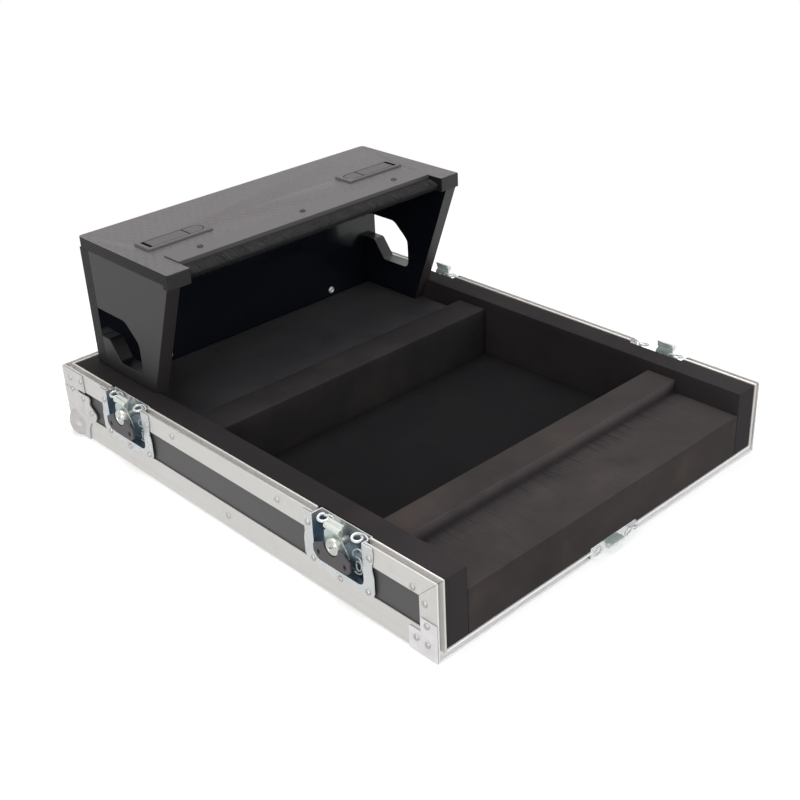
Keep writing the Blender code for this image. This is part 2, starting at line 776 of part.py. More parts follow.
def flush_lengths():
    """Distances along a flush latch: well start, lever start, divider and well end."""
    well_start = (FLUSH_BODY_LENGTH - LEVER_LENGTH - BUTTON_LENGTH - FINGER_GAP - GAP) / 2
    lever_start = well_start + FINGER_GAP
    divider = lever_start + LEVER_LENGTH + DIVIDER / 2
    well_end = divider + DIVIDER / 2 + BUTTON_LENGTH + GAP
    return well_start, lever_start, divider, well_end


def flush_housing(side):
    """The bezel and body of a flush latch, with the lever's well and the bolt's channel."""
    face, floor, bolt_top, body_low = flush_levels()
    well_start, lever_start, divider, well_end = flush_lengths()
    over = (BEZEL_LENGTH - FLUSH_BODY_LENGTH) / 2
    bezel = flush_box(side, -over, FLUSH_BODY_LENGTH + over, BEZEL_WIDTH / 2, LID_Z + GAP, face)
    slope = METAL
    centre_x = flush_x(side, FLUSH_BODY_LENGTH / 2)
    centre_y = from_front(FLUSH_Y)
    for vertex in bezel.data.vertices:
        if vertex.co.z > face - METAL:
            vertex.co.x -= math.copysign(slope, vertex.co.x - centre_x)
            vertex.co.y -= math.copysign(slope, vertex.co.y - centre_y)
    body = flush_box(side, 0, FLUSH_BODY_LENGTH, FLUSH_BODY_WIDTH / 2, body_low, LID_Z + METAL)
    well = rounded_bar(side, well_start, well_end, LEVER_WIDTH / 2 + GAP, floor, face + 0.01)
    channel = flush_box(side, -0.01, BOLT_LENGTH + HOOK_TRAVEL, BOLT_WIDTH / 2 + GAP,
                        bolt_top - BOLT_HEIGHT - GAP, bolt_top + GAP)
    return carve(fuse(bezel, body), well, channel)


def flush_lever(side):
    """The long part of the handle, hinged at the dividing line."""
    face = flush_levels()[0]
    lever_start, divider = flush_lengths()[1:3]
    return flush_box(side, lever_start, divider - DIVIDER / 2, LEVER_WIDTH / 2,
                     face - LEVER_THICKNESS, face)


def flush_button(side):
    """The rounded end that is pressed to free the lever."""
    face = flush_levels()[0]
    divider, well_end = flush_lengths()[2:]
    return rounded_bar(side, divider + DIVIDER / 2, well_end - GAP, LEVER_WIDTH / 2,
                       face - BUTTON_THICKNESS, face)


def flush_bolt(side):
    """The spring bolt under the lid, whose nose stops just short of the cheek."""
    bolt_top = flush_levels()[2]
    nose = HOUSING_HALF - HOUSING_BOARD - BOLT_END_ROOM
    tail = nose - BOLT_LENGTH
    y = from_front(FLUSH_Y)
    slope = BOLT_HEIGHT * 0.6
    outline = [(side * nose, bolt_top), (side * tail, bolt_top),
               (side * tail, bolt_top - BOLT_HEIGHT), (side * (nose - slope), bolt_top - BOLT_HEIGHT),
               (side * nose, bolt_top - BOLT_HEIGHT + slope)]
    return prism(outline, "Y", y - BOLT_WIDTH / 2, y + BOLT_WIDTH / 2)


# Recessed butterfly latches

@dataclass
class Latch:
    """Where one latch sits: its name and frame, its face's depth and its hook's place.

    raised is how far the hook is out, and lean how far the hook's tip leans into the case.
    """

    name: str
    frame: Matrix
    face: float
    raised: float
    lean: float

    def put(self, obj):
        """Moves a piece drawn in the latch's frame into the world."""
        return placed(obj, self.frame)

    def at(self, along, up, depth):
        """World place of a point in the latch's frame."""
        return self.frame @ Vector((along, up, depth))


def latch_frame(origin, along, up, depth):
    """The matrix of a latch whose three directions are given."""
    axes = Matrix((along, up, depth)).transposed().to_4x4()
    return Matrix.Translation(origin) @ axes


def all_latches():
    """Two latches on each side wall, and one under the front edge.

    Those on the left are closed. The others stand with their hooks out.
    """
    latches = []
    for side, word in ((-1, "left"), (1, "right")):
        for distance, place in ((LATCH_INSET, "front"), (CASE_DEPTH - LATCH_INSET, "rear")):
            origin = (side * HALF, from_front(distance), RIM)
            frame = latch_frame(origin, (0, -side, 0), (0, 0, 1), (-side, 0, 0))
            raised = HOOK_TRAVEL if side > 0 else 0
            latches.append(Latch(f"{word}_{place}", frame, -STAND_OFF, raised, HOOK_LEAN))
    frame = latch_frame((0, FRONT, LIFT), (-1, 0, 0), (0, -1, 0), (0, 0, 1))
    latches.append(Latch("bottom", frame, SUNK_FACE, HOOK_TRAVEL, SUNK_LEAN))
    return latches


def latch_dish():
    """The pressed dish: a flange and a tray that is open at the rim."""
    low = -DISH_TOP - DISH_HEIGHT
    half = DISH_OPENING / 2
    wide = FLANGE_WIDTH / 2
    tab = FLANGE_TAB_WIDTH / 2
    skirt = low - FLANGE_SKIRT + FLANGE_TAB
    waist = wide - FLANGE_WAIST
    flange = rounded([
        (-wide, -DISH_TOP, 0.002), (-wide, -0.014, 0), (-waist, -0.022, 0), (-waist, -0.028, 0),
        (-wide, -0.036, 0), (-wide, skirt, DISH_ROUND), (-tab, skirt, 0.003),
        (-tab * 0.8, skirt - FLANGE_TAB, 0.002), (tab * 0.8, skirt - FLANGE_TAB, 0.002),
        (tab, skirt, 0.003), (wide, skirt, DISH_ROUND), (wide, -0.036, 0), (waist, -0.028, 0),
        (waist, -0.022, 0), (wide, -0.014, 0), (wide, -DISH_TOP, 0.002),
    ], 2)
    tray = rounded([
        (-half - PLATE, -DISH_TOP, 0), (-half - PLATE, low - PLATE, DISH_ROUND + PLATE),
        (half + PLATE, low - PLATE, DISH_ROUND + PLATE), (half + PLATE, -DISH_TOP, 0),
    ])
    room = rounded([
        (-half, 0.01, 0), (-half, low, DISH_ROUND), (half, low, DISH_ROUND), (half, 0.01, 0),
    ])
    plate = prism(flange, "Z", -GAP - PLATE, -GAP)
    dish = fuse(plate, prism(tray, "Z", -GAP - PLATE / 2, DISH_DEPTH + PLATE))
    return carve(dish, prism(room, "Z", -0.01, DISH_DEPTH))


def latch_plate_face(latch):
    """Depth of the outer side of a latch's hook plate."""
    return latch.face + DISC_THICKNESS + GAP


def hook_bar(section, width):
    """A (depth, up) section pushed across the hook's width."""
    return prism([(up, depth) for depth, up in section], "X", HOOK_OFFSET - width / 2,
                 HOOK_OFFSET + width / 2)


def latch_hook(latch):
    """The hook: a plate slotted for its spindle, a roll across its top and a leaning tip."""
    outer = latch_plate_face(latch)
    inner = outer + HOOK_PLATE
    half = HOOK_WIDTH / 2
    top = -ROLL_DROP
    outline = rounded([(-half, -HOOK_TAIL, 0.008), (half, -HOOK_TAIL, 0.008),
                       (half, top - 0.007, 0.002), (ROLL_WIDTH / 2 - METAL, top, 0),
                       (METAL - ROLL_WIDTH / 2, top, 0), (-half, top - 0.007, 0.002)])
    plate = placed(prism(outline, "Z", outer, inner), Matrix.Translation((HOOK_OFFSET, 0, 0)))
    free = SPINDLE_RADIUS + GAP
    slot = rounded([(-free, -SPINDLE_DROP - free - HOOK_TRAVEL, free * 0.98),
                    (free, -SPINDLE_DROP - free - HOOK_TRAVEL, free * 0.98),
                    (free, -SPINDLE_DROP + free, free * 0.98),
                    (-free, -SPINDLE_DROP + free, free * 0.98)], 4)
    carve(plate, prism(slot, "Z", outer - 0.01, inner + 0.01))
    inwards = latch.lean == HOOK_LEAN
    middle = outer + ROLL_RADIUS if inwards else inner - ROLL_RADIUS
    circle = [(middle + ROLL_RADIUS * math.cos(math.pi * (i + 0.5) / 6),
               top + ROLL_RADIUS * math.sin(math.pi * (i + 0.5) / 6)) for i in range(12)]
    half_plate = HOOK_PLATE / 2
    tip = [(middle - half_plate, top), (middle + half_plate, top),
           (middle + latch.lean + half_plate, HOOK_TIP_RISE),
           (middle + latch.lean - half_plate, HOOK_TIP_RISE)]
    hook = fuse(plate, hook_bar(circle, ROLL_WIDTH), hook_bar(tip, HOOK_TIP_WIDTH))
    return placed(hook, Matrix.Translation((0, latch.raised, 0)))


def latch_rotor(latch):
    """The round head on its spindle."""
    edge = METAL / 2
    profile = [
        (0, DISH_DEPTH - GAP), (SPINDLE_RADIUS, DISH_DEPTH - GAP),
        (SPINDLE_RADIUS, latch.face + DISC_THICKNESS), (DISC_RADIUS, latch.face + DISC_THICKNESS),
        (DISC_RADIUS, latch.face + edge), (DISC_RADIUS - edge, latch.face), (0, latch.face),
    ]
    return placed(turned(profile, 20), Matrix.Translation((0, -SPINDLE_DROP, 0)))


def latch_wing(latch):
    """The half-moon handle, folded flat below the head."""
    top = METAL / 2
    half = WING_WIDTH / 2
    low = -WING_HEIGHT
    outline = rounded([
        (-half * 0.42, top, 0.002), (-half, low * 0.33, 0.003), (-half, low * 0.74, 0.005),
        (-half * 0.78, low, 0.004), (half * 0.78, low, 0.004), (half, low * 0.74, 0.005),
        (half, low * 0.33, 0.003), (half * 0.42, top, 0.002),
    ])
    depth = latch.face + GAP
    wing = prism(outline, "Z", depth, depth + WING_THICKNESS)
    room = DISC_RADIUS + WING_ROOM
    seat = turned([(0, depth + 0.01), (room, depth + 0.01), (room, depth - 0.01),
                   (0, depth - 0.01)], 20)
    slots = []
    for side in (-1, 1):
        x = side * (half - WING_SLOT_INSET)
        y = low * WING_SLOT_SHARE
        outline = rounded([(x - 0.002, y - 0.003, 0.0018), (x + 0.002, y - 0.003, 0.0018),
                           (x + 0.002, y + 0.003, 0.0018), (x - 0.002, y + 0.003, 0.0018)], 2)
        slots.append(prism(outline, "Z", depth - 0.01, depth + 0.01))
    carve(wing, seat, *slots)
    return placed(wing, Matrix.Translation((0, -SPINDLE_DROP, 0)))


def build():
    """Makes every sub-part of the case."""
    for obj in list(bpy.data.objects):
        bpy.data.objects.remove(obj)
    ply = make_material("laminated_ply", (0.10, 0.095, 0.10), 0.45)
    housing_ply = make_material("film_faced_ply", (0.035, 0.034, 0.036), 0.5)
    aluminium = make_material("aluminium", (0.78, 0.77, 0.75), 0.38, 1.0)
    zinc = make_material("zinc_plate", (0.72, 0.76, 0.78), 0.3, 1.0)
    foam = make_material("foam", (0.035, 0.033, 0.034), 0.95)
    bristle = make_material("bristle", (0.02, 0.02, 0.021), 0.7)
    black = make_material("black_plastic", (0.03, 0.03, 0.032), 0.45)
    grey = make_material("dark_grey_plate", (0.07, 0.068, 0.072), 0.5)

    finish(bottom_panel(), "bottom_panel", ply)
    finish(back_wall(), "back_wall", ply)
    finish(rim_rear_profile(), "rear_rim_profile", aluminium)
    start, end = from_front(LEG + GAP), BACK - CORNER_ROOM
    for side, word in ((-1, "left"), (1, "right")):
        finish(side_wall(side), f"{word}_wall", ply)
        finish(rim_front_profile(side), f"{word}_front_rim_profile", aluminium)
        finish(rim_side_profile(side), f"{word}_rim_profile", aluminium)
        finish(front_profile(side), f"{word}_front_profile", aluminium)
        finish(front_corner_plate(side), f"{word}_front_corner_plate", zinc)
        finish(corner_brace(side), f"{word}_rear_corner_brace", zinc)
        finish(prism(angle_outline(side * HALF, LIFT, -side, 1), "Y", start, end),
               f"{word}_edge_angle", aluminium)
        finish(ball_corner(side), f"{word}_ball_corner", zinc, smooth=True)
        finish(side_foam(side), f"{word}_foam_liner", foam)
        finish(cheek(side), f"{word}_housing_cheek", housing_ply)
        finish(flush_housing(side), f"{word}_flush_housing", black)
        face = flush_levels()[0]
        hinge = (flush_x(side, flush_lengths()[2]), from_front(FLUSH_Y), face)
        finish(flush_lever(side), f"{word}_flush_lever", black, hinge)
        finish(flush_button(side), f"{word}_flush_button", black, hinge)
        finish(flush_bolt(side), f"{word}_flush_bolt", zinc)
    cut = HALF - ANGLE - GAP
    finish(prism(angle_outline(BACK, LIFT, -1, 1), "X", -cut, cut), "back_edge_angle", aluminium)
    finish(front_foam(), "front_foam_block", foam)
    finish(rear_foam(), "rear_foam_block", foam)
    finish(back_foam(), "back_foam_liner", foam)
    finish(floor_foam(), "well_floor_foam", foam)
    finish(back_board(), "housing_back_board", housing_ply)
    finish(housing_lid(), "housing_lid", housing_ply)
    finish(brush_holder(), "brush_holder", black)
    finish(brush(), "brush_bristles", bristle)

    latches = all_latches()
    for latch in latches:
        spindle = latch.at(0, -SPINDLE_DROP, 0)
        wing_depth = latch.face + GAP + WING_THICKNESS / 2
        name = f"{latch.name}_latch"
        finish(latch.put(latch_dish()), f"{name}_dish", zinc)
        finish(latch.put(latch_hook(latch)), f"{name}_hook", zinc, spindle)
        finish(latch.put(latch_rotor(latch)), f"{name}_rotor", zinc, spindle, smooth=True)
        finish(latch.put(latch_wing(latch)), f"{name}_wing", grey,
               latch.at(0, -SPINDLE_DROP, wing_depth))


build()
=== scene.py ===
"""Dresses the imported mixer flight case, with its finishes, fittings, floor, lamps and camera."""

import logging
import math
from dataclasses import dataclass
from enum import Enum
from typing import Callable, Optional, Sequence, Union

import bmesh
import bpy
from mathutils import Matrix, Vector, noise


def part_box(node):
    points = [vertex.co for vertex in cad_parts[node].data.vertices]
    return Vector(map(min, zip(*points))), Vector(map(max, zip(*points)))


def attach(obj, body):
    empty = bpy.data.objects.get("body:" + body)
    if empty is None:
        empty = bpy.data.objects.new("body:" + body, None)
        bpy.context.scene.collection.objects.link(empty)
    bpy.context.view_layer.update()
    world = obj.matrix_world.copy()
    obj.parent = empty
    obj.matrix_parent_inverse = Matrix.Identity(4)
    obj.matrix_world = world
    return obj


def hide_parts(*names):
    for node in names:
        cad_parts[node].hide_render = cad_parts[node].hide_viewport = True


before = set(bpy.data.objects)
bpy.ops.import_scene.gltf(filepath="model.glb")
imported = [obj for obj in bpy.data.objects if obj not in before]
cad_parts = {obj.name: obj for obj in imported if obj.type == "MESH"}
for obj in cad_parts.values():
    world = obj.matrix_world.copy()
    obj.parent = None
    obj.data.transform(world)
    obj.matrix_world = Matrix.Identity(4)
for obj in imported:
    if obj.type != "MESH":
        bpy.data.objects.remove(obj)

LOG = logging.getLogger("flight_case")
SEED = 7
HALF = 0.260
LIFT = 0.0015
GAP = 0.0003
PLATE = 0.0012
TURN = 2 * math.pi
WHITE = (1.0, 1.0, 1.0, 1.0)

# Widths of softened edges, in metres.
FINE, SOFT, WIDE, BROAD = 0.0003, 0.0004, 0.0005, 0.0006

Point = tuple[float, float, float]
Flat = tuple[float, float]
Value = Union[float, int, bool, str, tuple, "Number", bpy.types.NodeSocket, bpy.types.Material]
Inputs = dict[Union[str, int], Value]
Key = Union[int, str]
Shape = bmesh.types.BMesh
Chooser = Callable[[Vector, Vector], int]


class Side(Enum):
    """The two sides of the case, by the sign of their x."""

    LEFT = -1
    RIGHT = 1

    @property
    def word(self) -> str:
        """The side's name in the names of nodes."""
        return self.name.lower()


class Grain(Enum):
    """The direction that a drawn metal's fine lines follow."""

    ALONG_X = (2.0, 700.0, 700.0)
    ALONG_Y = (700.0, 2.0, 700.0)
    ALONG_Z = (700.0, 700.0, 2.0)


# Node trees

class Number:
    """A node's result, which can be reckoned with."""

    def __init__(self, tree: "Tree", socket: bpy.types.NodeSocket) -> None:
        """Keeps the tree and the result's socket."""
        self.tree, self.socket = tree, socket

    def maths(self, operation: str, *others: Value) -> "Number":
        """The result of a Math node whose first operand this is."""
        return self.tree.maths(operation, self, *others)

    def __add__(self, other: Value) -> "Number":
        """The sum."""
        return self.maths("ADD", other)

    def __sub__(self, other: Value) -> "Number":
        """The difference."""
        return self.maths("SUBTRACT", other)

    def __mul__(self, other: Value) -> "Number":
        """The product."""
        return self.maths("MULTIPLY", other)

    def ranged(self, low: float, high: float, start: float = 0.0, end: float = 1.0) -> "Number":
        """This number mapped from low and high onto start and end, and kept between them."""
        inputs = {0: self, 1: low, 2: high, 3: start, 4: end}
        return self.tree.number("ShaderNodeMapRange", inputs)


class Tree:
    """A node tree with a short way to place and join its nodes, read at some coordinates."""

    where: Optional[Value] = None

    def __init__(self, tree: bpy.types.NodeTree) -> None:
        """Keeps the tree that is filled."""
        self.tree = tree

    def feed(self, socket: bpy.types.NodeSocket, value: Value) -> None:
        """Joins a result to an input, or sets a constant there.

        Args:
            socket: the input.
            value: the result or the constant.
        """
        if isinstance(value, Number):
            value = value.socket
        if isinstance(value, bpy.types.NodeSocket):
            self.tree.links.new(value, socket)
        else:
            socket.default_value = value

    def add(self, kind: str, inputs: Optional[Inputs] = None, **settings: Value) -> bpy.types.Node:
        """Adds a node, sets it and feeds its inputs.

        Args:
            kind: the node's type name.
            inputs: constants or results by input name or number.
            settings: the node's own properties.

        Returns:
            The new node.
        """
        node = self.tree.nodes.new(kind)
        for key, value in settings.items():
            setattr(node, key, value)
        for key, value in (inputs or {}).items():
            self.feed(node.inputs[key], value)
        return node

    def number(self, kind: str, inputs: Optional[Inputs] = None, output: Key = 0,
               **settings: Value) -> Number:
        """Adds a node as add does, and gives one of its results."""
        return Number(self, self.add(kind, inputs, **settings).outputs[output])

    def maths(self, operation: str, *values: Value, clamp: bool = False) -> Number:
        """A Math node's result."""
        return self.number("ShaderNodeMath", dict(enumerate(values)), operation=operation,
                           use_clamp=clamp)

    def vector(self, operation: str, *values: Value, output: Key = 0) -> Number:
        """A Vector Math node's result."""
        return self.number("ShaderNodeVectorMath", dict(enumerate(values)), output,
                           operation=operation)

    def mixed(self, factor: Value, first: Value, second: Value) -> Number:
        """Two colours mixed, where the factor is the second one's share."""
        inputs = {0: factor, 6: first, 7: second}
        return self.number("ShaderNodeMix", inputs, 2, data_type="RGBA")

    def parts(self, where: Optional[Value] = None) -> list[Number]:
        """The x, y and z of a vector, or else of the tree's coordinates."""
        node = self.add("ShaderNodeSeparateXYZ", {0: where or self.where})
        return [Number(self, socket) for socket in node.outputs]

    def joined(self, x: Value, y: Value, z: Value) -> Number:
        """A vector of three numbers."""
        return self.number("ShaderNodeCombineXYZ", {0: x, 1: y, 2: z})

    def spread(self, *scales: float) -> Number:
        """The tree's coordinates times a vector."""
        return self.vector("MULTIPLY", self.where, scales)

    def noise(self, scale: float, detail: float = 3.0, where: Optional[Value] = None) -> Number:
        """A noise of so many lumps per metre and finer layers, from 0 to 1."""
        inputs = {"Vector": where or self.where, "Scale": scale, "Detail": detail}
        return self.number("ShaderNodeTexNoise", inputs, "Fac")

    def crossed(self, run: Number, other: Number, pitch: float) -> tuple[Number, Number]:
        """Two sets of slanted waves of the same pitch that cross each other."""
        rate = TURN / pitch
        return tuple((way * rate).maths("SINE") for way in (run + other, run - other))


class Ground(Tree):
    """A material's tree and its shader, read at the object's coordinates."""

    def __init__(self, material: bpy.types.Material) -> None:
        """Starts from a material's default shader.

        Args:
            material: the material, with its default nodes.
        """
        super().__init__(material.node_tree)
        self.shader = material.node_tree.nodes["Principled BSDF"]
        self.where = self.add("ShaderNodeTexCoord").outputs["Object"]

    def set(self, name: str, value: Value) -> None:
        """Feeds one of the shader's inputs."""
        self.feed(self.shader.inputs[name], value)

    def join(self, colour: Value, roughness: Value, height: Value, depth: float) -> None:
        """Joins a finish's results to the shader.

        Args:
            colour: the surface's colour.
            roughness: its roughness.
            height: its relief from 0 to 1.
            depth: the relief's height in metres.
        """
        self.set("Base Color", colour)
        self.set("Roughness", roughness)
        bump = {"Strength": 1.0, "Distance": depth, "Height": height}
        self.set("Normal", self.number("ShaderNodeBump", bump))


def linear(value: float) -> float:
    """A channel given as it shows on a screen, from 0 to 255, as a linear value."""
    value /= 255
    return value / 12.92 if value <= 0.04045 else ((value + 0.055) / 1.055) ** 2.4


def shade(colour: Sequence[float], factor: float = 1.0) -> tuple:
    """A screen colour for a shader, its linear channels times a factor, with an alpha of 1."""
    return tuple(min(1.0, linear(value) * factor) for value in colour) + (1.0,)


# Finishes

@dataclass(frozen=True)
class Finish:
    """A plain finish: its colour, gloss and clouds, and the name of its material slot."""

    name: str
    colour: Point
    roughness: float = 0.5
    metallic: float = 0.0
    cloud: float = 0.08
    slot: str = "housing_board"

    def material(self) -> bpy.types.Material:
        """Gives the finish's material, which is made once.

        Returns:
            The material.
        """
        made = bpy.data.materials.get(self.name)
        if not made:
            made = bpy.data.materials.new(self.name)
            made.use_nodes = True
            ground = Ground(made)
            ground.set("Metallic", self.metallic)
            self.dress(ground)
        return made

    def tone(self, factor: float = 1.0) -> tuple:
        """The finish's colour times a factor."""
        return shade(self.colour, factor)

    def rough(self, value: Number, least: float, most: float, low: float = 0.3,
              high: float = 0.7) -> Number:
        """The roughness times least and most, where the value is low and high."""
        return value.ranged(low, high, self.roughness * least, self.roughness * most)

    def clouded(self, ground: Ground, scale: float = 9.0) -> Number:
        """The finish's colour with soft uneven patches, so many per metre."""
        share = ground.noise(scale, 4.0).ranged(0.3, 0.7)
        return ground.mixed(share, self.tone(1 - self.cloud), self.tone(1 + self.cloud))

    def dress(self, ground: Ground) -> None:
        """Gives the ground its colour, gloss and relief."""
        fine = ground.noise(900.0)
        ground.join(self.clouded(ground), self.rough(fine, 0.9, 1.1), fine, 0.00003)


@dataclass(frozen=True)
class DrawnMetal(Finish):
    """Extruded or rolled metal with fine lines along its length and faint handling marks."""

    roughness: float = 0.40
    metallic: float = 0.6
    cloud: float = 0.03
    slot: str = "aluminium"
    grain: Grain = Grain.ALONG_Y

    def dress(self, ground: Ground) -> None:
        """Draws the lines and marks.

        Args:
            ground: the material's tree.
        """
        lines = ground.noise(1.0, 2.0, ground.spread(*self.grain.value))
        marks = ground.noise(55.0, 6.0).ranged(0.60, 0.72)
        lined = ground.mixed(lines.ranged(0.35, 0.65, 0.0, 0.16), self.clouded(ground, 6.0),
                             self.tone(0.72))
        colour = ground.mixed(marks * 0.10, lined, self.tone(0.6))
        rough = ground.maths("ADD", self.rough(lines, 0.8, 1.2), marks * 0.08, clamp=True)
        ground.join(colour, rough, lines, 0.00002)


@dataclass(frozen=True)
class PlatedSteel(Finish):
    """Bright plated steel with soft blotches in its plating."""

    slot: str = "zinc_plate"
    tint: Point = (203, 208, 209)

    def dress(self, ground: Ground) -> None:
        """Draws the plating's blotches and its fine grain.

        Args:
            ground: the material's tree.
        """
        blotch = ground.noise(60.0, 2.0).ranged(0.25, 0.75)
        base = ground.mixed(blotch, self.tone(), shade(self.tint))
        dull = ground.noise(130.0).ranged(0.45, 0.80, 0.0, 0.2)
        colour = ground.mixed(dull, base, self.tone(0.7))
        rough = self.rough(blotch, 0.8, 1.25, 0.0, 1.0)
        ground.join(colour, rough, ground.noise(1500.0, 2.0), 0.00001)


@dataclass(frozen=True)
class TrayPlating(PlatedSteel):
    """Plated steel of a pressed tray: a painted highlight where it turns over at the rim, and
    painted shade below.
    """

    roughness: float = 0.22
    # Painted highlight colour near the rim.
    pale: Point = (206, 208, 202)
    rim: float = 0.0900
    reach: float = 0.013

    def dress(self, ground: Ground) -> None:
        """Draws the plating, then its painted highlight band at the rim.

        Args:
            ground: the material's tree.
        """
        super().dress(ground)
        # The plating's colour here is the tray's painted shade; towards the rim it turns to the
        # painted highlight colour.
        darker = ground.shader.inputs["Base Color"].links[0].from_socket
        height = ground.parts()[2] + (ground.noise(70.0) - 0.5) * 0.008
        share = height.ranged(self.rim - self.reach, self.rim - 0.004, 0.0, 0.85)
        ground.set("Base Color", ground.mixed(share, darker, shade(self.pale)))


@dataclass(frozen=True)
class FadingBoard(Finish):
    """Coated board with painted shade low down, where the rim and the foam shade it."""

    low: float = 0.120
    high: float = 0.225

    def dress(self, ground: Ground) -> None:
        """Paints the shade low down."""
        # Painted shade: the colour falls to 0.3 of itself towards the bottom.
        share = ground.parts()[2].ranged(self.low, self.high, 0.9, 0.0)
        ground.set("Base Color", ground.mixed(share, self.tone(), self.tone(0.3)))


@dataclass(frozen=True)
class CutFoam(Finish):
    """Closed-cell foam: fine cells, a pressed weave and brownish rubbed patches, with painted light
    and shade on some pieces: pulled lines and a band darkening towards the bar's foot, a lighter
    front and a shaded foot.
    """

    roughness: float = 0.9
    cloud: float = 0.12
    slot: str = "foam"
    weave_pitch: float = 0.0030
    rub: float = 0.30
    streak: float = 0.0
    streak_end: float = 0.0
    front_painted_light: float = 0.0
    foot_painted_shade: float = 0.0

    def dress(self, ground: Ground) -> None:
        """Draws the cells, the weave and the patches, then the painted light and shade that only
        some pieces have.

        Args:
            ground: the material's tree.
        """
        ground.set("Specular IOR Level", 0.10)
        x, y, z = ground.parts()
        first, second = ground.crossed(x + z, y, self.weave_pitch)
        weave = first * second
        pressed = ground.noise(7.0, 2.0).ranged(0.42, 0.58, 0.0, 0.8)
        cells = ground.number("ShaderNodeTexVoronoi", {"Vector": ground.where, "Scale": 1100.0},
                              "Distance", feature="F1")
        patches = ground.noise(16.0, 6.0)
        rubbed = shade([value + more for value, more in zip(self.colour, (16, 11, 9))])
        colour = self.clouded(ground, 5.0)
        layers = [(patches.ranged(0.50, 0.70, 0.0, self.rub), rubbed),
                  (patches.ranged(0.30, 0.46, self.rub, 0.0), self.tone(0.62)),
                  (weave.ranged(-0.2, 0.6, 0.0, 0.08) * pressed, self.tone(0.45))]
        # Pulled lines of the foam's texture, darker and stronger towards the bar's foot, then a
        # dark band there: texture and painted shade.
        if self.streak:
            end = self.streak_end
            drawn = ground.noise(1.0, 2.0, ground.spread(620.0, 26.0, 120.0))
            near = y.ranged(end - 0.036, end, 0.15, 1.0)
            layers += [(drawn.ranged(0.52, 0.66, 0.0, self.streak) * near, self.tone(0.35)),
                       (y.ranged(end - 0.024, end - 0.004, 0.0, 0.45), shade((40, 37, 42)))]
        # Lighter towards the case's front: painted light.
        if self.front_painted_light:
            layers.append((y.ranged(-0.30, -0.17, self.front_painted_light, 0.0), self.tone(2.2)))
        # Darker low down at the foot: painted shade.
        if self.foot_painted_shade:
            foot = z.ranged(self.foot_painted_shade, self.foot_painted_shade + 0.010, 0.75, 0.0)
            layers.append((foot, shade((38, 35, 39))))
        layers.append((ground.noise(420.0, 2.0).ranged(0.71, 0.76, 0.0, 0.3), self.tone(2.4)))
        for share, other in layers:
            colour = ground.mixed(share, colour, other)
        rough = self.rough(cells, 1.0, 0.9, 0.0, 0.8)
        ground.join(colour, rough, cells + weave * pressed * 0.35, 0.00018)


@dataclass(frozen=True)
class Laminate(Finish):
    """Thin grey sheet glued on ply, with an orange-peel surface and light scuffs."""

    slot: str = "black_laminate"

    def dress(self, ground: Ground) -> None:
        """Draws the peel and the scuffs.

        Args:
            ground: the material's tree.
        """
        peel = ground.noise(1300.0, 2.0)
        scuff = ground.noise(120.0, 7.0, ground.spread(1.0, 0.25, 1.6)).ranged(0.62, 0.75, 0.0, 0.3)
        colour = ground.mixed(scuff, self.clouded(ground), self.tone(1.5))
        ground.join(colour, self.rough(peel, 0.85, 1.15), peel, 0.00005)


@dataclass(frozen=True)
class PlyEdge(Finish):
    """A board's sawn edge, stained dark, whose plies show as thin lines along one axis."""

    axis: int = 2
    pitch: float = 0.0028

    def dress(self, ground: Ground) -> None:
        """Draws the plies and their grain.

        Args:
            ground: the material's tree.
        """
        ground.set("Specular IOR Level", 0.2)
        place = ground.parts()[self.axis] + ground.noise(40.0, 2.0) * 0.0006
        plies = (place * (TURN / self.pitch)).maths("SINE").ranged(-0.4, 0.4)
        grain = ground.noise(500.0)
        light = plies * grain.ranged(0.3, 0.7, 0.4, 1.0)
        colour = ground.mixed(light, self.tone(0.3), self.tone(2.6))
        ground.join(colour, self.rough(plies, 1.0, 0.85, 0.0, 1.0), plies + grain * 0.6, 0.00015)


@dataclass(frozen=True)
class HexFilm(Finish):
    """Anti-slip film pressed with a net of small hexagons, whose lines stand up a little, drawn
    lighter as a painted highlight with painted shade beside them.
    """

    pitch: float = 0.0114
    line: float = 0.07
    slanted: float = 0.5

    def dress(self, ground: Ground) -> None:
        """Draws the net, whose lines lie where two cells' middles are equally near.

        Args:
            ground: the material's tree.
        """
        tall = math.sqrt(3) / 2
        flat = ground.spread(1 / self.pitch, 1 / self.pitch, 0.0)
        cells = [ground.vector("WRAP", start, (0.5, tall, 0.5), (-0.5, -tall, -0.5))
                 for start in (flat, ground.vector("ADD", flat, (0.5, tall, 0.0)))]
        near, far = (ground.vector("DOT_PRODUCT", cell, cell, output="Value") for cell in cells)
        centre = ground.number("ShaderNodeMix", {0: near.maths("LESS_THAN", far), 4: cells[1],
                                                 5: cells[0]}, 1, data_type="VECTOR")
        x, y, _ = ground.parts(ground.vector("ABSOLUTE", centre))
        slant = y.maths("MULTIPLY_ADD", tall, x * 0.5)
        start, full = 0.5 - self.line, 0.5 - self.line * 0.35
        # Slanted lines count for less, as they catch less light: painted light.
        net = x.ranged(start, full).maths("MAXIMUM", slant.ranged(start, full, 0.0, self.slanted))
        # Uneven strength of the lines' painted highlight.
        highlight_share = ground.noise(60.0, 4.0).ranged(0.35, 0.65, 0.35, 1.0)
        # A darker band beside each line: painted shade.
        rim = x.maths("MAXIMUM", slant).ranged(0.5 - self.line * 2.4, start, 0.0, 0.5)
        line_shadowed = ground.mixed(rim, self.clouded(ground), self.tone(0.5))
        # The lines lighter: painted highlight.
        colour = ground.mixed(net * (highlight_share * 0.55), line_shadowed, self.tone(2.3))
        ground.join(colour, self.rough(net, 1.0, 0.7, 0.0, 1.0), net, 0.0004)


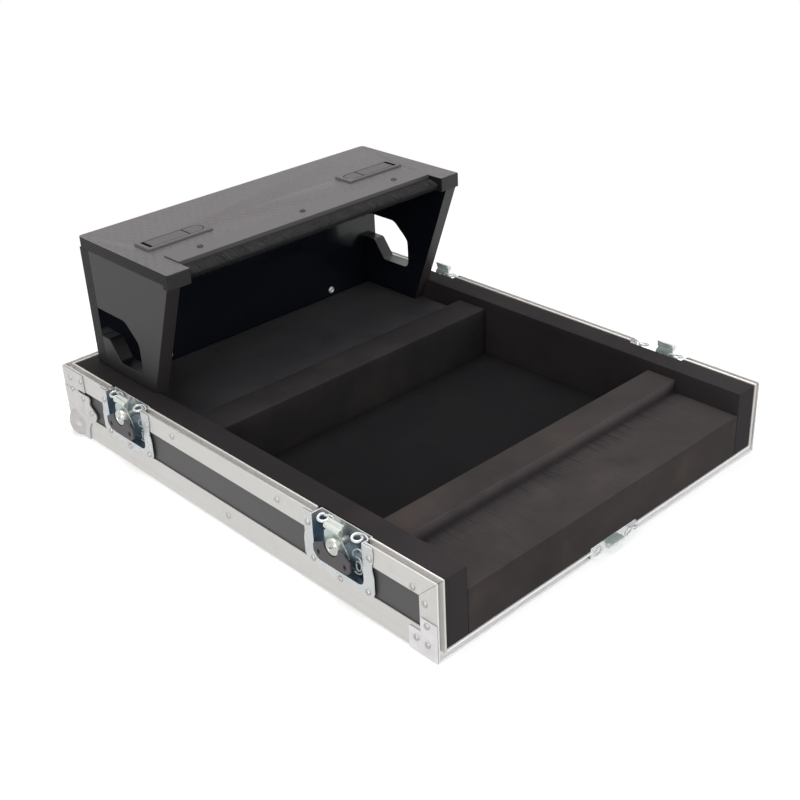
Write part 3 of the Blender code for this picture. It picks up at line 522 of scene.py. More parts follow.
@dataclass(frozen=True)
class Hatched(Finish):
    """Hard plastic sheet pressed with a fine diagonal crosshatch."""

    slot: str = "black_plastic"
    pitch: float = 0.0024

    def dress(self, ground: Ground) -> None:
        """Draws the crosshatch.

        Args:
            ground: the material's tree.
        """
        x, y, z = ground.parts()
        first, second = ground.crossed(x + y, z, self.pitch)
        ridges = first.maths("MAXIMUM", second).ranged(0.2, 0.95)
        colour = ground.mixed(ridges, self.tone(0.45), self.tone(1.9))
        ground.join(colour, self.rough(ridges, 1.0, 0.75, 0.0, 1.0), ridges, 0.0002)


@dataclass(frozen=True)
class GlossFilm(Finish):
    """Smooth film on ply, glossy, with the wood's faint waves under it."""

    cloud: float = 0.15

    def dress(self, ground: Ground) -> None:
        """Draws the waves and the dust.

        Args:
            ground: the material's tree.
        """
        waves = ground.noise(28.0, 2.0, ground.spread(0.3, 1.0, 1.0))
        dust = ground.noise(500.0).ranged(0.66, 0.76, 0.0, 0.25)
        colour = ground.mixed(dust, self.clouded(ground), shade((70, 70, 74)))
        ground.join(colour, self.rough(waves, 0.75, 1.3), waves, 0.0006)


class Finishes:
    """Every finish that the case uses."""

    laminate = Laminate("laminate", (71, 69, 69), 0.42)
    angle_x = DrawnMetal("drawn_aluminium_cross", (216, 214, 211), grain=Grain.ALONG_X)
    angle_y = DrawnMetal("drawn_aluminium_long", (216, 214, 211))
    angle_z = DrawnMetal("drawn_aluminium_upright", (216, 214, 211), grain=Grain.ALONG_Z)
    # A brighter, less metallic copy of the drawn aluminium for the bottom run of the front profile:
    # painted light.
    lit_sill = DrawnMetal("drawn_aluminium_sill", (252, 251, 252), 0.36, 0.15, grain=Grain.ALONG_X)
    ball = PlatedSteel("ball_skin", (206, 203, 202), 0.52, 0.35, tint=(198, 194, 193))
    plate = PlatedSteel("bright_plate", (238, 236, 238), 0.34, 0.5, tint=(222, 220, 222))
    nickel = PlatedSteel("corner_plate", (216, 214, 213), 0.34, 0.55, tint=(208, 206, 205))
    zinc = PlatedSteel("latch_plate", (214, 216, 216), 0.28, 0.6)
    # Darker copies of the latch plating for the tray and its side walls: painted shade in the
    # hollow, with a painted highlight near the rim.
    zinc_tray_shaded = TrayPlating("latch_tray", (116, 132, 142), metallic=0.75, tint=(66, 84, 96))
    zinc_wall_shaded = TrayPlating("latch_tray_side", (138, 158, 176), metallic=0.7, tint=(84, 104, 122))
    hook = PlatedSteel("hook_plate", (212, 225, 219), 0.34, 0.3, tint=(194, 210, 204))
    # A paler, glossier copy of the hook's plating, for the roll, the lip's tip and outer faces and
    # the blade: painted highlight.
    roll = PlatedSteel("hook_roll", (226, 230, 224), 0.22, 0.5, tint=(206, 214, 206))
    bright = PlatedSteel("bright_wire", (226, 228, 230), 0.3, 0.35, tint=(206, 211, 214))
    head = PlatedSteel("latch_head", (214, 216, 212), 0.25, 0.6, tint=(184, 188, 182))
    rivet = PlatedSteel("rivet_steel", (190, 187, 185), 0.34, 0.75, tint=(188, 186, 184))
    screw = PlatedSteel("dark_screw", (58, 55, 56), 0.35, 0.7, slot="dark_grey_plate",
                        tint=(46, 44, 46))
    pin = Finish("rivet_pin", (74, 70, 68), 0.5, 0.3, slot="zinc_plate")
    # A dark strip under the hook's roll: painted shadow.
    roll_shadow = Finish("painted_roll_shadow", (52, 60, 58), 0.6, 0.2, slot="zinc_plate")
    # Dark grey on the wing stands for the dark surroundings it reflects: painted reflection.
    wing = Finish("wing_painted_reflection", (74, 69, 72), cloud=0.1, slot="dark_grey_plate")
    # One black foam throughout: each piece's and face's tone is set to the light it gets, as
    # painted light and shade, lightest on the bar's front face and darkest on the well's floor.
    foam = CutFoam("cut_foam", (41, 38, 39), front_painted_light=0.5)
    foam_front = CutFoam("front_foam", (58, 54, 53), rub=0.55)
    foam_ledge = CutFoam("ledge_foam", (63, 59, 59), rub=0.55, streak=0.8, streak_end=-0.2373)
    foam_bar_lit = CutFoam("bar_foam", (92, 86, 87), rub=0.55, foot_painted_shade=0.0655)
    foam_rear = CutFoam("rear_foam", (42, 40, 41), rub=0.5)
    foam_shelf = CutFoam("shelf_foam", (70, 69, 72), rub=0.5)
    foam_floor_shaded = CutFoam("floor_foam", (21, 21, 23), 0.95, cloud=0.10, rub=0.2)
    # Painted shade low on the board.
    board = FadingBoard("board_face", (40, 37, 36))
    board_edge = Finish("board_edge", (46, 43, 44), cloud=0.12)
    board_grain = PlyEdge("board_grain", (34, 32, 34), 0.6, axis=1)
    lid_edge = PlyEdge("lid_edge", (18, 17, 17), 0.6, pitch=0.0030)
    lid_film = HexFilm("hexagon_film", (82, 77, 78), 0.42, cloud=0.05)
    port = GlossFilm("port_edge", (16, 16, 18), 0.3)
    gloss = GlossFilm("gloss_film", (16, 19, 26), 0.16)
    strip = Finish("strip_plate", (76, 72, 73), 0.4, cloud=0.05)
    pad = Hatched("hatched_pad", (19, 17, 19), 0.56)
    plastic = Finish("moulded_plastic", (60, 57, 58), 0.42, cloud=0.06, slot="black_plastic")
    bezel = Finish("moulded_bezel", (72, 69, 70), 0.4, cloud=0.06, slot="black_plastic")
    # Near-black plastic: in the latch housing's well it is painted shade; on the brush backing it
    # is the backing's dark plastic.
    plastic_dark_and_shade = Finish("plastic_dark_and_well_shade", (16, 15, 16), cloud=0.06, slot="black_plastic")
    bristle = Finish("bristle_fibre", (11, 10, 12), 0.6, cloud=0.15, slot="bristle")


# Mesh work

def merged(name: str) -> Shape:
    """A copy of a CAD node's mesh whose loose triangles are joined into flat faces.

    Args:
        name: the node.

    Returns:
        The new mesh.
    """
    shape = bmesh.new()
    shape.from_mesh(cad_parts[name].data)
    bmesh.ops.remove_doubles(shape, verts=shape.verts, dist=2e-6)
    bmesh.ops.dissolve_limit(shape, angle_limit=math.radians(0.5), verts=shape.verts,
                             edges=shape.edges)
    shape.normal_update()
    return shape


def linked(name: str, data: bpy.types.ID) -> bpy.types.Object:
    """A new object in the scene.

    Args:
        name: its name.
        data: its mesh, lamp or camera.

    Returns:
        The object.
    """
    obj = bpy.data.objects.new(name, data)
    bpy.context.scene.collection.objects.link(obj)
    return obj


def smoothed(mesh: bpy.types.Mesh, angle: float) -> None:
    """Shades a mesh smooth, apart from its edges over an angle in degrees."""
    mesh.shade_smooth()
    mesh.set_sharp_from_angle(angle=math.radians(angle))


def to_object(name: str, shape: Shape, finishes: Sequence[Finish], smooth: float
              ) -> bpy.types.Object:
    """A new object from a mesh in the making.

    Args:
        name: the object's name.
        shape: the mesh, which is freed.
        finishes: its finishes, in the order of its faces' material numbers.
        smooth: the angle in degrees under which an edge is shaded smooth.

    Returns:
        The object, in the scene.
    """
    mesh = bpy.data.meshes.new(name)
    shape.to_mesh(mesh)
    shape.free()
    for finish in finishes:
        mesh.materials.append(finish.material())
    smoothed(mesh, smooth)
    return linked(name, mesh)


def rounded_edges(obj: bpy.types.Object, width: float, segments: int = 2) -> None:
    """Gives an object a live bevel on its sharp edges.

    Args:
        obj: the object.
        width: the bevel's width in metres.
        segments: its number of faces.
    """
    bevel = obj.modifiers.new("soft_edges", "BEVEL")
    bevel.width = width
    bevel.segments = segments
    bevel.limit_method = "ANGLE"
    bevel.angle_limit = math.radians(34.0)
    bevel.harden_normals = True
    bevel.use_clamp_overlap = True
    bevel.miter_outer = "MITER_ARC"


def paint(shape: Shape, choose: Chooser) -> None:
    """Sets each face's material number, chosen from its middle and its normal."""
    for face in shape.faces:
        face.material_index = choose(face.calc_center_median(), face.normal)


def settle(obj: bpy.types.Object, body: str, finish: Finish, *nodes: str) -> bpy.types.Object:
    """Puts a piece on its body, and hides the CAD nodes that it stands for.

    Args:
        obj: the piece.
        body: the CAD body it rides on.
        finish: not used.
        nodes: the nodes it replaces.

    Returns:
        The piece.
    """
    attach(obj, body)
    if nodes:
        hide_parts(*nodes)
    LOG.info("%s rides on %s, %d faces", obj.name, body, len(obj.data.polygons))
    return obj


def piece(name: str, shape: Shape, finishes: Sequence[Finish], body: str, *nodes: str,
          edge: float = 0.0, smooth: float = 32.0, segments: int = 2,
          choose: Optional[Chooser] = None) -> bpy.types.Object:
    """Makes a finished piece from a mesh, on its body.

    Args:
        name: the piece's name.
        shape: its mesh, which is freed.
        finishes: its finishes, in the order of its faces' material numbers.
        body: the CAD body it rides on.
        nodes: the CAD nodes it replaces.
        edge: the width of its softened edges, if it has any.
        smooth: the angle in degrees under which an edge is shaded smooth.
        segments: the number of faces on a softened edge.
        choose: gives a face's material number from its middle and its normal.

    Returns:
        The piece.
    """
    if choose:
        paint(shape, choose)
    obj = to_object(name, shape, finishes, smooth)
    if edge:
        rounded_edges(obj, edge, segments)
    return settle(obj, body, finishes[0], *nodes)


def over(node: str, finishes: Sequence[Finish], edge: float, body: str = "case",
         shape: Optional[Shape] = None, **looks: Union[float, Chooser]) -> bpy.types.Object:
    """A piece that stands for one CAD node, from the node's own mesh unless another is given."""
    return piece(node + "_dressed", shape or merged(node), finishes, body, node, edge=edge,
                 **looks)


def faced(axis: int) -> Chooser:
    """Chooses 0 on the side that an axis points to, 1 on the other side and 2 on the edges."""
    return lambda _, way: 2 if abs(way[axis]) < 0.5 else 0 if way[axis] > 0 else 1


def circle(count: int) -> list[Flat]:
    """The cosine and sine of evenly spaced angles all round."""
    return [(math.cos(TURN * i / count), math.sin(TURN * i / count)) for i in range(count)]


def prism(outline: Sequence[Flat], low: float, high: float, axis: int = 2) -> Shape:
    """Pushes an outline along an axis.

    Args:
        outline: points across the axis, in the order of the two other axes.
        low: where it starts.
        high: where it ends.
        axis: the axis it is pushed along.

    Returns:
        The new mesh.
    """
    shape = bmesh.new()
    rings = []
    for end in (low, high):
        places = [list(point) for point in outline]
        for place in places:
            place.insert(axis, end)
        rings.append([shape.verts.new(place) for place in places])
    for ring in rings:
        shape.faces.new(ring)
    bridged(shape, rings)
    return shape


def bridged(shape: Shape, rings: Sequence[Sequence[bmesh.types.BMVert]]) -> None:
    """Joins rings of corners by faces, and turns all faces outwards.

    Args:
        shape: the mesh.
        rings: the rings in order, of equal size, or of one corner on an axis.
    """
    for lower, upper in zip(rings, rings[1:]):
        count = max(len(lower), len(upper))
        for i in range(count):
            after = (i + 1) % count
            ring = (lower[i % len(lower)], lower[after % len(lower)],
                    upper[after % len(upper)], upper[i % len(upper)])
            unique = list(dict.fromkeys(ring))
            if len(unique) > 2:
                shape.faces.new(unique)
    bmesh.ops.recalc_face_normals(shape, faces=shape.faces)


def rounded(corners: Sequence[Flat], radius: float, steps: int = 5) -> list[Flat]:
    """An outline whose corners are rounded.

    Args:
        corners: its corners.
        radius: the radius of each.
        steps: faces on each rounded corner.

    Returns:
        The outline's points.
    """
    points = []
    for i, corner in enumerate(corners):
        here = Vector(corner)
        before = Vector(corners[i - 1]) - here
        after = Vector(corners[(i + 1) % len(corners)]) - here
        reach = min(radius / math.tan(before.angle(after) / 2), before.length * 0.49,
                    after.length * 0.49)
        start, end = here + before.normalized() * reach, here + after.normalized() * reach
        for step in range(steps + 1):
            t = step / steps
            points.append(tuple(start * (1 - t) ** 2 + here * 2 * t * (1 - t) + end * t ** 2))
    return points


def lathe(profile: Sequence[Flat], sectors: int) -> Shape:
    """Turns a closed (radius, height) profile round the third axis.

    Args:
        profile: points from axis to axis, whose ends have no radius.
        sectors: faces round the axis.

    Returns:
        The new mesh.
    """
    shape = bmesh.new()
    bridged(shape, [[shape.verts.new((radius * p, radius * q, height))
                     for p, q in (circle(sectors) if radius else [(0, 0)])]
                    for radius, height in profile])
    return shape


def tube(shape: Shape, path: Sequence[Point], radius: float, sides: int = 10) -> None:
    """A round wire along a path, closed at both ends.

    Args:
        shape: the mesh that takes the new faces.
        path: the points that the wire follows.
        radius: the wire's radius.
        sides: faces round the wire.
    """
    points = [Vector(p) for p in path]
    ahead = (points[1] - points[0]).normalized()
    across = ahead.orthogonal().normalized()
    rings = []
    for i, point in enumerate(points):
        turned = (points[min(len(points) - 1, i + 1)] - points[max(0, i - 1)]).normalized()
        across = ahead.rotation_difference(turned) @ across
        across = (across - turned * across.dot(turned)).normalized()
        ahead = turned
        third = ahead.cross(across)
        rings.append([shape.verts.new(point + radius * (across * p + third * q))
                      for p, q in circle(sides)])
    for ring in (rings[0], rings[-1]):
        shape.faces.new(ring)
    bridged(shape, rings)


def smooth_path(points: Sequence[Point], steps: int = 6) -> list[Point]:
    """A smooth curve through some points.

    Args:
        points: the points, in order.
        steps: new points for each stretch.

    Returns:
        The curve's points.
    """
    known = [Vector(p) for p in points]
    ends = [known[0] * 2 - known[1]] + known + [known[-1] * 2 - known[-2]]
    path = []
    for a, b, c, d in zip(ends, ends[1:], ends[2:], ends[3:]):
        for step in range(steps):
            t = step / steps
            path.append(tuple(0.5 * (2 * b + (c - a) * t + (2 * a - 5 * b + 4 * c - d) * t ** 2
                                     + (3 * b - a - 3 * c + d) * t ** 3)))
    return path + [tuple(known[-1])]


def moved(shape: Shape, matrix: Matrix) -> Shape:
    """Moves a mesh in the making, and keeps its faces outwards.

    Args:
        shape: the mesh.
        matrix: where it goes.

    Returns:
        The same mesh.
    """
    bmesh.ops.transform(shape, matrix=matrix, verts=shape.verts)
    if matrix.determinant() < 0:
        bmesh.ops.reverse_faces(shape, faces=shape.faces)
    return shape


# Geometry node trees

def new_group(name: str, floats: dict[str, float]) -> tuple[Tree, dict[str, Number]]:
    """A geometry tree that takes a mesh, some numbers and a seed, and gives a mesh.

    Args:
        name: its name.
        floats: the numbers' defaults, by their names.

    Returns:
        The tree, and its inputs by name.
    """
    group = bpy.data.node_groups.new(name, "GeometryNodeTree")
    add = group.interface.new_socket
    add("Geometry", in_out="INPUT", socket_type="NodeSocketGeometry")
    for label, value in floats.items():
        add(label, in_out="INPUT", socket_type="NodeSocketFloat").default_value = value
    add("Seed", in_out="INPUT", socket_type="NodeSocketInt").default_value = SEED
    add("Geometry", in_out="OUTPUT", socket_type="NodeSocketGeometry")
    tree = Tree(group)
    given = tree.add("NodeGroupInput").outputs
    return tree, {socket.name: Number(tree, socket) for socket in given if socket.name}


def grown(name: str, spots: Sequence[tuple[Point, Point]], tree: Tree, shape: Value,
          finish: Finish, values: dict[str, float]) -> bpy.types.Object:
    """Closes a geometry tree, runs it on a mesh of loose points, and keeps the plain result.

    Args:
        name: the new object's name.
        spots: (place, direction) of each point.
        tree: the geometry tree.
        shape: the shape that the tree has made.
        finish: the result's finish.
        values: the tree's inputs by name.

    Returns:
        The new object, in the scene.
    """
    dressed = tree.number("GeometryNodeSetMaterial", {"Geometry": shape,
                                                      "Material": finish.material()})
    tree.add("NodeGroupOutput", {0: dressed})
    mesh = bpy.data.meshes.new("spots")
    mesh.from_pydata([place for place, _ in spots], [], [])
    facing = mesh.attributes.new("facing", "FLOAT_VECTOR", "POINT")
    facing.data.foreach_set("vector", [value for _, way in spots for value in way])
    seedling = linked(name + "_start", mesh)
    modifier = seedling.modifiers.new("tree", "NODES")
    modifier.node_group = tree.tree
    for item in tree.tree.interface.items_tree:
        if item.in_out == "INPUT" and item.name != "Geometry":
            modifier[item.identifier] = {"Seed": SEED, **values}[item.name]
    seen = seedling.evaluated_get(bpy.context.evaluated_depsgraph_get())
    result = bpy.data.meshes.new_from_object(seen)
    result.name = name
    bpy.data.objects.remove(seedling)
    return linked(name, result)


@dataclass
class Heads:
    """Small turned heads, one for each point of a mesh, each facing along its point's direction."""

    name: str
    finish: Finish
    profile: Sequence[Flat]
    radius: float
    height: float = 0.0019
    sectors: int = 18
    recess: float = 0.0

    def curve(self, tree: Tree, along: Number, column: int) -> Number:
        """One column of the profile, as a curve over the way from its start to its end.

        Args:
            tree: the geometry tree.
            along: the share of the way.
            column: 0 for the share of the radius, 1 for the share of the height.

        Returns:
            The curve's value.
        """
        node = tree.add("ShaderNodeFloatCurve", {"Factor": 1.0, "Value": along})
        node.mapping.use_clip = False
        points = node.mapping.curves[0].points
        last = len(self.profile) - 1
        points[0].location = (0.0, self.profile[0][column])
        points[-1].location = (1.0, self.profile[last][column])
        for i in range(1, last):
            points.new(i / last, self.profile[i][column])
        for point in points:
            point.handle_type = "VECTOR"
        node.mapping.update()
        return Number(tree, node.outputs[0])

    def build(self, spots: Sequence[tuple[Point, Point]], body: str) -> None:
        """Turns a head on each spot: a bent grid with a cross recess, copied and spun.

        Args:
            spots: (place, direction) of each head.
            body: the body they ride on.
        """
        sizes = {"Radius": self.radius, "Height": self.height}
        tree, given = new_group(self.name, sizes)
        grid = tree.number("GeometryNodeMeshGrid", {
            "Size X": 1.0, "Size Y": 1.0, "Vertices X": len(self.profile),
            "Vertices Y": self.sectors + 1})
        x, y, _ = tree.parts(tree.number("GeometryNodeInputPosition"))
        along, angle = x + 0.5, y * TURN
        share, rise = (self.curve(tree, along, column) for column in (0, 1))
        cross = (angle * 2.0).maths("COSINE").maths("ABSOLUTE").maths("GREATER_THAN", 0.8)
        sunk = cross * share.maths("LESS_THAN", 0.55) * self.recess
        radius = share * given["Radius"]
        spot = tree.joined(radius * angle.maths("COSINE"), radius * angle.maths("SINE"),
                           (rise - sunk) * given["Height"])
        bent = tree.number("GeometryNodeSetPosition", {"Geometry": grid, "Position": spot})
        head = tree.number("GeometryNodeMergeByDistance", {"Geometry": bent,
                                                           "Distance": 0.000002})
        facing = tree.number("GeometryNodeInputNamedAttribute", {"Name": "facing"},
                             data_type="FLOAT_VECTOR")
        upright = tree.number("FunctionNodeAlignRotationToVector", {"Vector": facing}, axis="Z")
        spin = tree.number("FunctionNodeRandomValue", {"Min": 0.0, "Max": 6.28,
                                                       "Seed": given["Seed"]}, 1,
                           data_type="FLOAT")
        spun = tree.number("FunctionNodeAxisAngleToRotation", {"Axis": (0, 0, 1), "Angle": spin})
        both = tree.number("FunctionNodeRotateRotation", {0: upright, 1: spun},
                           rotation_space="LOCAL")
        placed = tree.number("GeometryNodeInstanceOnPoints", {
            "Points": given["Geometry"], "Instance": head, "Rotation": both})
        real = tree.number("GeometryNodeRealizeInstances", {"Geometry": placed})
        soft = tree.number("GeometryNodeSetShadeSmooth", {"Geometry": real})
        settle(grown(self.name, spots, tree, soft, self.finish, sizes), body, self.finish)


# The case

@dataclass
class Shell:
    """Walls, profiles, angles and corner fittings of the tray."""

    leg: float = 0.024
    ring_radius: float = 0.0055
    ring_height: float = 0.0005
    ring_spread: float = 0.09
    dimple_depth: float = 0.0018
    dimple_spread: float = 0.035
    ball_radius: float = 0.0215
    ball_inset: Point = (0.0118, 0.0114, 0.0133)
    ball_away: Point = (0.75, -0.58, 0.31)
    ball_foot: float = 0.0002
    least_proud: float = 0.0006
    skin: float = 0.0018
    flare: float = 0.0022
    flare_reach: float = 0.0013
    crease_width: float = 0.0005
    creases: tuple[tuple[Flat, ...], ...] = (
        ((0.0355, 0.0500), (0.0336, 0.0437), (0.0326, 0.0358)),
        ((0.0343, 0.0348), (0.0484, 0.0356), (0.0585, 0.0361)),
        ((0.0020, 0.0396), (0.0052, 0.0389), (0.0098, 0.0398), (0.0170, 0.0438)))

    def build(self) -> None:
        """Makes every piece of the shell. A profile's lines follow each of its legs."""
        for name in ("bottom_panel", "back_wall", "left_wall", "right_wall"):
            over(name, [Finishes.laminate], FINE)
        for side in Side:
            word = side.word
            over(f"{word}_edge_angle", [Finishes.angle_y], WIDE)
            over(f"{word}_rim_profile", [Finishes.angle_y], FINE)
            over(f"{word}_front_rim_profile", [Finishes.angle_y], FINE)
            # The front profile's bottom run takes the brighter copy: painted light.
            over(f"{word}_front_profile", [Finishes.angle_z, Finishes.lit_sill], FINE,
                 choose=lambda at, _: 0 if abs(at.x) > HALF - self.leg
                 and at.z - LIFT > HALF - abs(at.x) else 1)
            over(f"{word}_rear_corner_brace", [Finishes.nickel], SOFT)
            over(f"{word}_front_corner_plate", [Finishes.plate], SOFT)
            over(f"{word}_ball_corner", [Finishes.nickel], WIDE, smooth=38.0)
            self.ball_cap(side)
            self.beads(side)
        over("back_edge_angle", [Finishes.angle_x], WIDE)
        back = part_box("rear_rim_profile")[1].y
        over("rear_rim_profile", [Finishes.angle_y, Finishes.angle_x], FINE,
             choose=lambda at, _: 0 if back - at.y > HALF - abs(at.x) else 1)

    def corner(self, side: Side) -> Vector:
        """The tray's rear bottom corner on a side."""
        return Vector((side.value * HALF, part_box("back_wall")[1].y, LIFT))

    def ball_cap(self, side: Side) -> None:
        """A ball corner's larger and rounder ball, dimpled, and flared where it meets the plate.

        Args:
            side: the side of the case.
        """
        corner, inward = self.corner(side), Vector((-side.value, -1, 1))
        centre = corner + Vector(self.ball_inset) * inward
        away = (Vector(self.ball_away) * Vector((side.value, 1, 1))).normalized()
        turned = away.to_track_quat("Z", "Y").to_matrix()
        cap = bmesh.new()
        bmesh.ops.create_uvsphere(cap, u_segments=96, v_segments=60, radius=1.0)
        hidden = []
        for vertex in cap.verts:
            way = turned @ vertex.co.normalized()
            place = centre + way * (self.ball_radius + self.dimple(way.angle(away)))
            proud = (place - corner) * -inward
            second, axis = sorted(range(3), key=lambda k: proud[k])[1:]
            if proud[axis] < self.least_proud:
                hidden.append(vertex)
            along = way.copy()
            along[axis] = 0
            if along.length > 0.01:
                over_skin = max(proud[axis] - self.skin, 0)
                apart = min((proud[axis] - proud[second]) / (self.flare_reach * 5), 1)
                spread = self.flare * apart * math.exp(-over_skin / self.flare_reach)
                place += along.normalized() * spread
            place.z = max(place.z, self.ball_foot)
            vertex.co = place
        bmesh.ops.delete(cap, geom=hidden, context="VERTS")
        piece(f"{side.word}_ball_cap", cap, [Finishes.ball], "case", smooth=80.0)

    def beads(self, side: Side) -> None:
        """The thin pressed creases round a ball corner's ear.

        Args:
            side: the side of the case.
        """
        corner, shape = self.corner(side), bmesh.new()
        for line in self.creases:
            path = [(corner.x + side.value * self.skin, corner.y - back, corner.z + up)
                    for back, up in line]
            tube(shape, smooth_path(path), self.crease_width)
        piece(f"{side.word}_corner_creases", shape, [Finishes.nickel], "case", smooth=80.0)

    def dimple(self, angle: float) -> float:
        """How far the ball's skin stands in or out, by its angle from the dimple's middle.

        Args:
            angle: the angle in radians.

        Returns:
            The height in metres, less than 0 in the dimple.
        """
        reach = self.ring_radius / self.ball_radius
        ring = self.ring_height * math.exp(-((angle - reach) / self.ring_spread) ** 2)
        fall = 1 + math.exp((angle - reach * 0.8) / self.dimple_spread)
        return ring - self.dimple_depth / fall


# Foam

@dataclass
class FoamLining:
    """The foam blocks, each cut with soft edges and slightly uneven faces."""

    edge: float = 0.0018
    thin_edge: float = 0.0008
    cell: float = 0.012
    unevenness: float = 0.0007
    broad_lumps: float = 14.0
    fine_lumps: float = 60.0
    ledge_drop: float = 0.008
    face_drop: float = 0.014

    def build(self) -> None:
        """Makes each foam piece."""
        for name in ("left_foam_liner", "right_foam_liner", "back_foam_liner"):
            self.block(name, [Finishes.foam], self.edge)
        self.block("front_foam_block", [Finishes.foam_front, Finishes.foam_ledge,
                                        Finishes.foam_bar_lit], self.edge)
        self.block("rear_foam_block", [Finishes.foam_rear, Finishes.foam_shelf], self.edge)
        self.block("well_floor_foam", [Finishes.foam_floor_shaded], self.thin_edge)

    def block(self, node: str, finishes: Sequence[Finish], edge: float) -> None:
        """One foam piece: soft edges, then faces that wander inwards a little.

        Args:
            node: the CAD node that it replaces.
            finishes: its finish, then those of its ledge and of the face above the ledge, each a
                lighter or darker copy of the foam as painted light and shade.
            edge: the width of its soft edges.
        """
        shape = merged(node)
        sharp = [e for e in shape.edges if len(e.link_faces) == 2
                 and e.calc_face_angle(0) > math.radians(30)]
        bmesh.ops.bevel(shape, geom=sharp, offset=edge, offset_type="OFFSET", segments=3,
                        profile=0.5, affect="EDGES", clamp_overlap=True)
        places = [tuple(v.co) for v in shape.verts]
        for axis, (low, high) in enumerate((min(p), max(p)) for p in zip(*places)):
            count = max(1, round((high - low) / self.cell))
            way = Vector([1.0 if axis == k else 0.0 for k in range(3)])
            for i in range(1, count):
                bmesh.ops.bisect_plane(
                    shape, geom=shape.verts[:] + shape.edges[:] + shape.faces[:],
                    plane_co=way * (low + (high - low) * i / count), plane_no=way)
        bmesh.ops.triangulate(shape, faces=[f for f in shape.faces if len(f.verts) > 4])
        shape.normal_update()
        for vertex, normal, depth in [(v, v.normal.copy(), self.wander(v.co))
                                      for v in shape.verts]:
            vertex.co -= normal * depth
        top = max(v.co.z for v in shape.verts)

        def choose(middle: Vector, normal: Vector) -> int:
            """1 on the ledge, 2 on the front face above it, 0 elsewhere.

            Args:
                middle: the face's middle.
                normal: its normal.

            Returns:
                The number of its finish.
            """
            ledge = normal.z > 0.7 and middle.z < top - self.ledge_drop
            face = normal.y < -0.7 and middle.z > top - self.face_drop
            number = 1 if ledge else 2 if face else 0
            return number if number < len(finishes) else 0

        obj = piece(node + "_soft", shape, finishes, "case", node, smooth=50.0, choose=choose)

    def wander(self, place: Vector) -> float:
        """How far a point of the foam's surface sinks, by its place.

        Args:
            place: the point.

        Returns:
            The depth in metres.
        """
        broad = noise.noise(place * self.broad_lumps)
        fine = noise.noise(place * self.fine_lumps + Vector((3.1, 0.0, 0.0)))
        return self.unevenness * (0.5 + 0.38 * broad + 0.12 * fine)


# Housing

@dataclass
class Housing:
    """The wooden housing: cheeks, back board, lid, facing pads and strip."""

    half: float = 0.2245
    notch_half: float = 0.194
    pad_proud: float = 0.0009
    pad_corner: float = 0.0012
    pad_side: float = 0.0006
    pad_rim: float = 0.0004
    pad_foot: float = 0.0003
    port_depth: float = 0.0845
    port_low: float = 0.1065
    port_high: float = 0.1685
    slack: float = 0.001

    def build(self) -> None:
        """Makes each piece of the housing."""
        for side in Side:
            self.cheek(side)
        over("housing_back_board", [Finishes.board, Finishes.gloss, Finishes.board_grain], WIDE,
             choose=faced(1))
        over("housing_lid", [Finishes.lid_film, Finishes.gloss, Finishes.lid_edge], SOFT, "lid",
             choose=faced(2))
        for side in Side:
            self.pad(side)
        over("brush_holder", [Finishes.strip], FINE, "lid")

    def cheek(self, side: Side) -> None:
        """A side board: glossy inside, dull outside, and near black round its cable port.

        Args:
            side: the side of the case.
        """
        node = f"{side.word}_housing_cheek"
        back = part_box(node)[1].y

        def choose(middle: Vector, normal: Vector) -> int:
            """0 outside, 1 inside, 2 on the edges, 3 in the port.

            Args:
                middle: the face's middle.
                normal: its normal.

            Returns:
                The number of its finish.
            """
            if abs(normal.x) < 0.5:
                deep = back - self.port_depth - self.slack < middle.y < back - self.slack
                high = self.port_low - self.slack < middle.z < self.port_high + self.slack
                return 3 if deep and high else 2
            return 0 if normal.x * side.value > 0 else 1

        over(node, [Finishes.board, Finishes.gloss, Finishes.board_edge, Finishes.port], BROAD,
             choose=choose)

    def pad(self, side: Side) -> None:
        """A hatched pad glued over the lid's front edge beside the brush.

        Args:
            side: the side of the case.
        """
        low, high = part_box("housing_lid")
        left, right = sorted((side.value * (self.notch_half + self.pad_side),
                              side.value * (self.half - self.pad_rim)))
        foot, top = low.z + self.pad_foot, high.z - self.pad_rim
        outline = rounded([(left, foot), (right, foot), (right, top), (left, top)],
                          self.pad_corner)
        shape = prism(outline, low.y - self.pad_proud, low.y + self.pad_rim, axis=1)
        piece(f"{side.word}_facing_pad", shape, [Finishes.pad], "lid", edge=FINE)


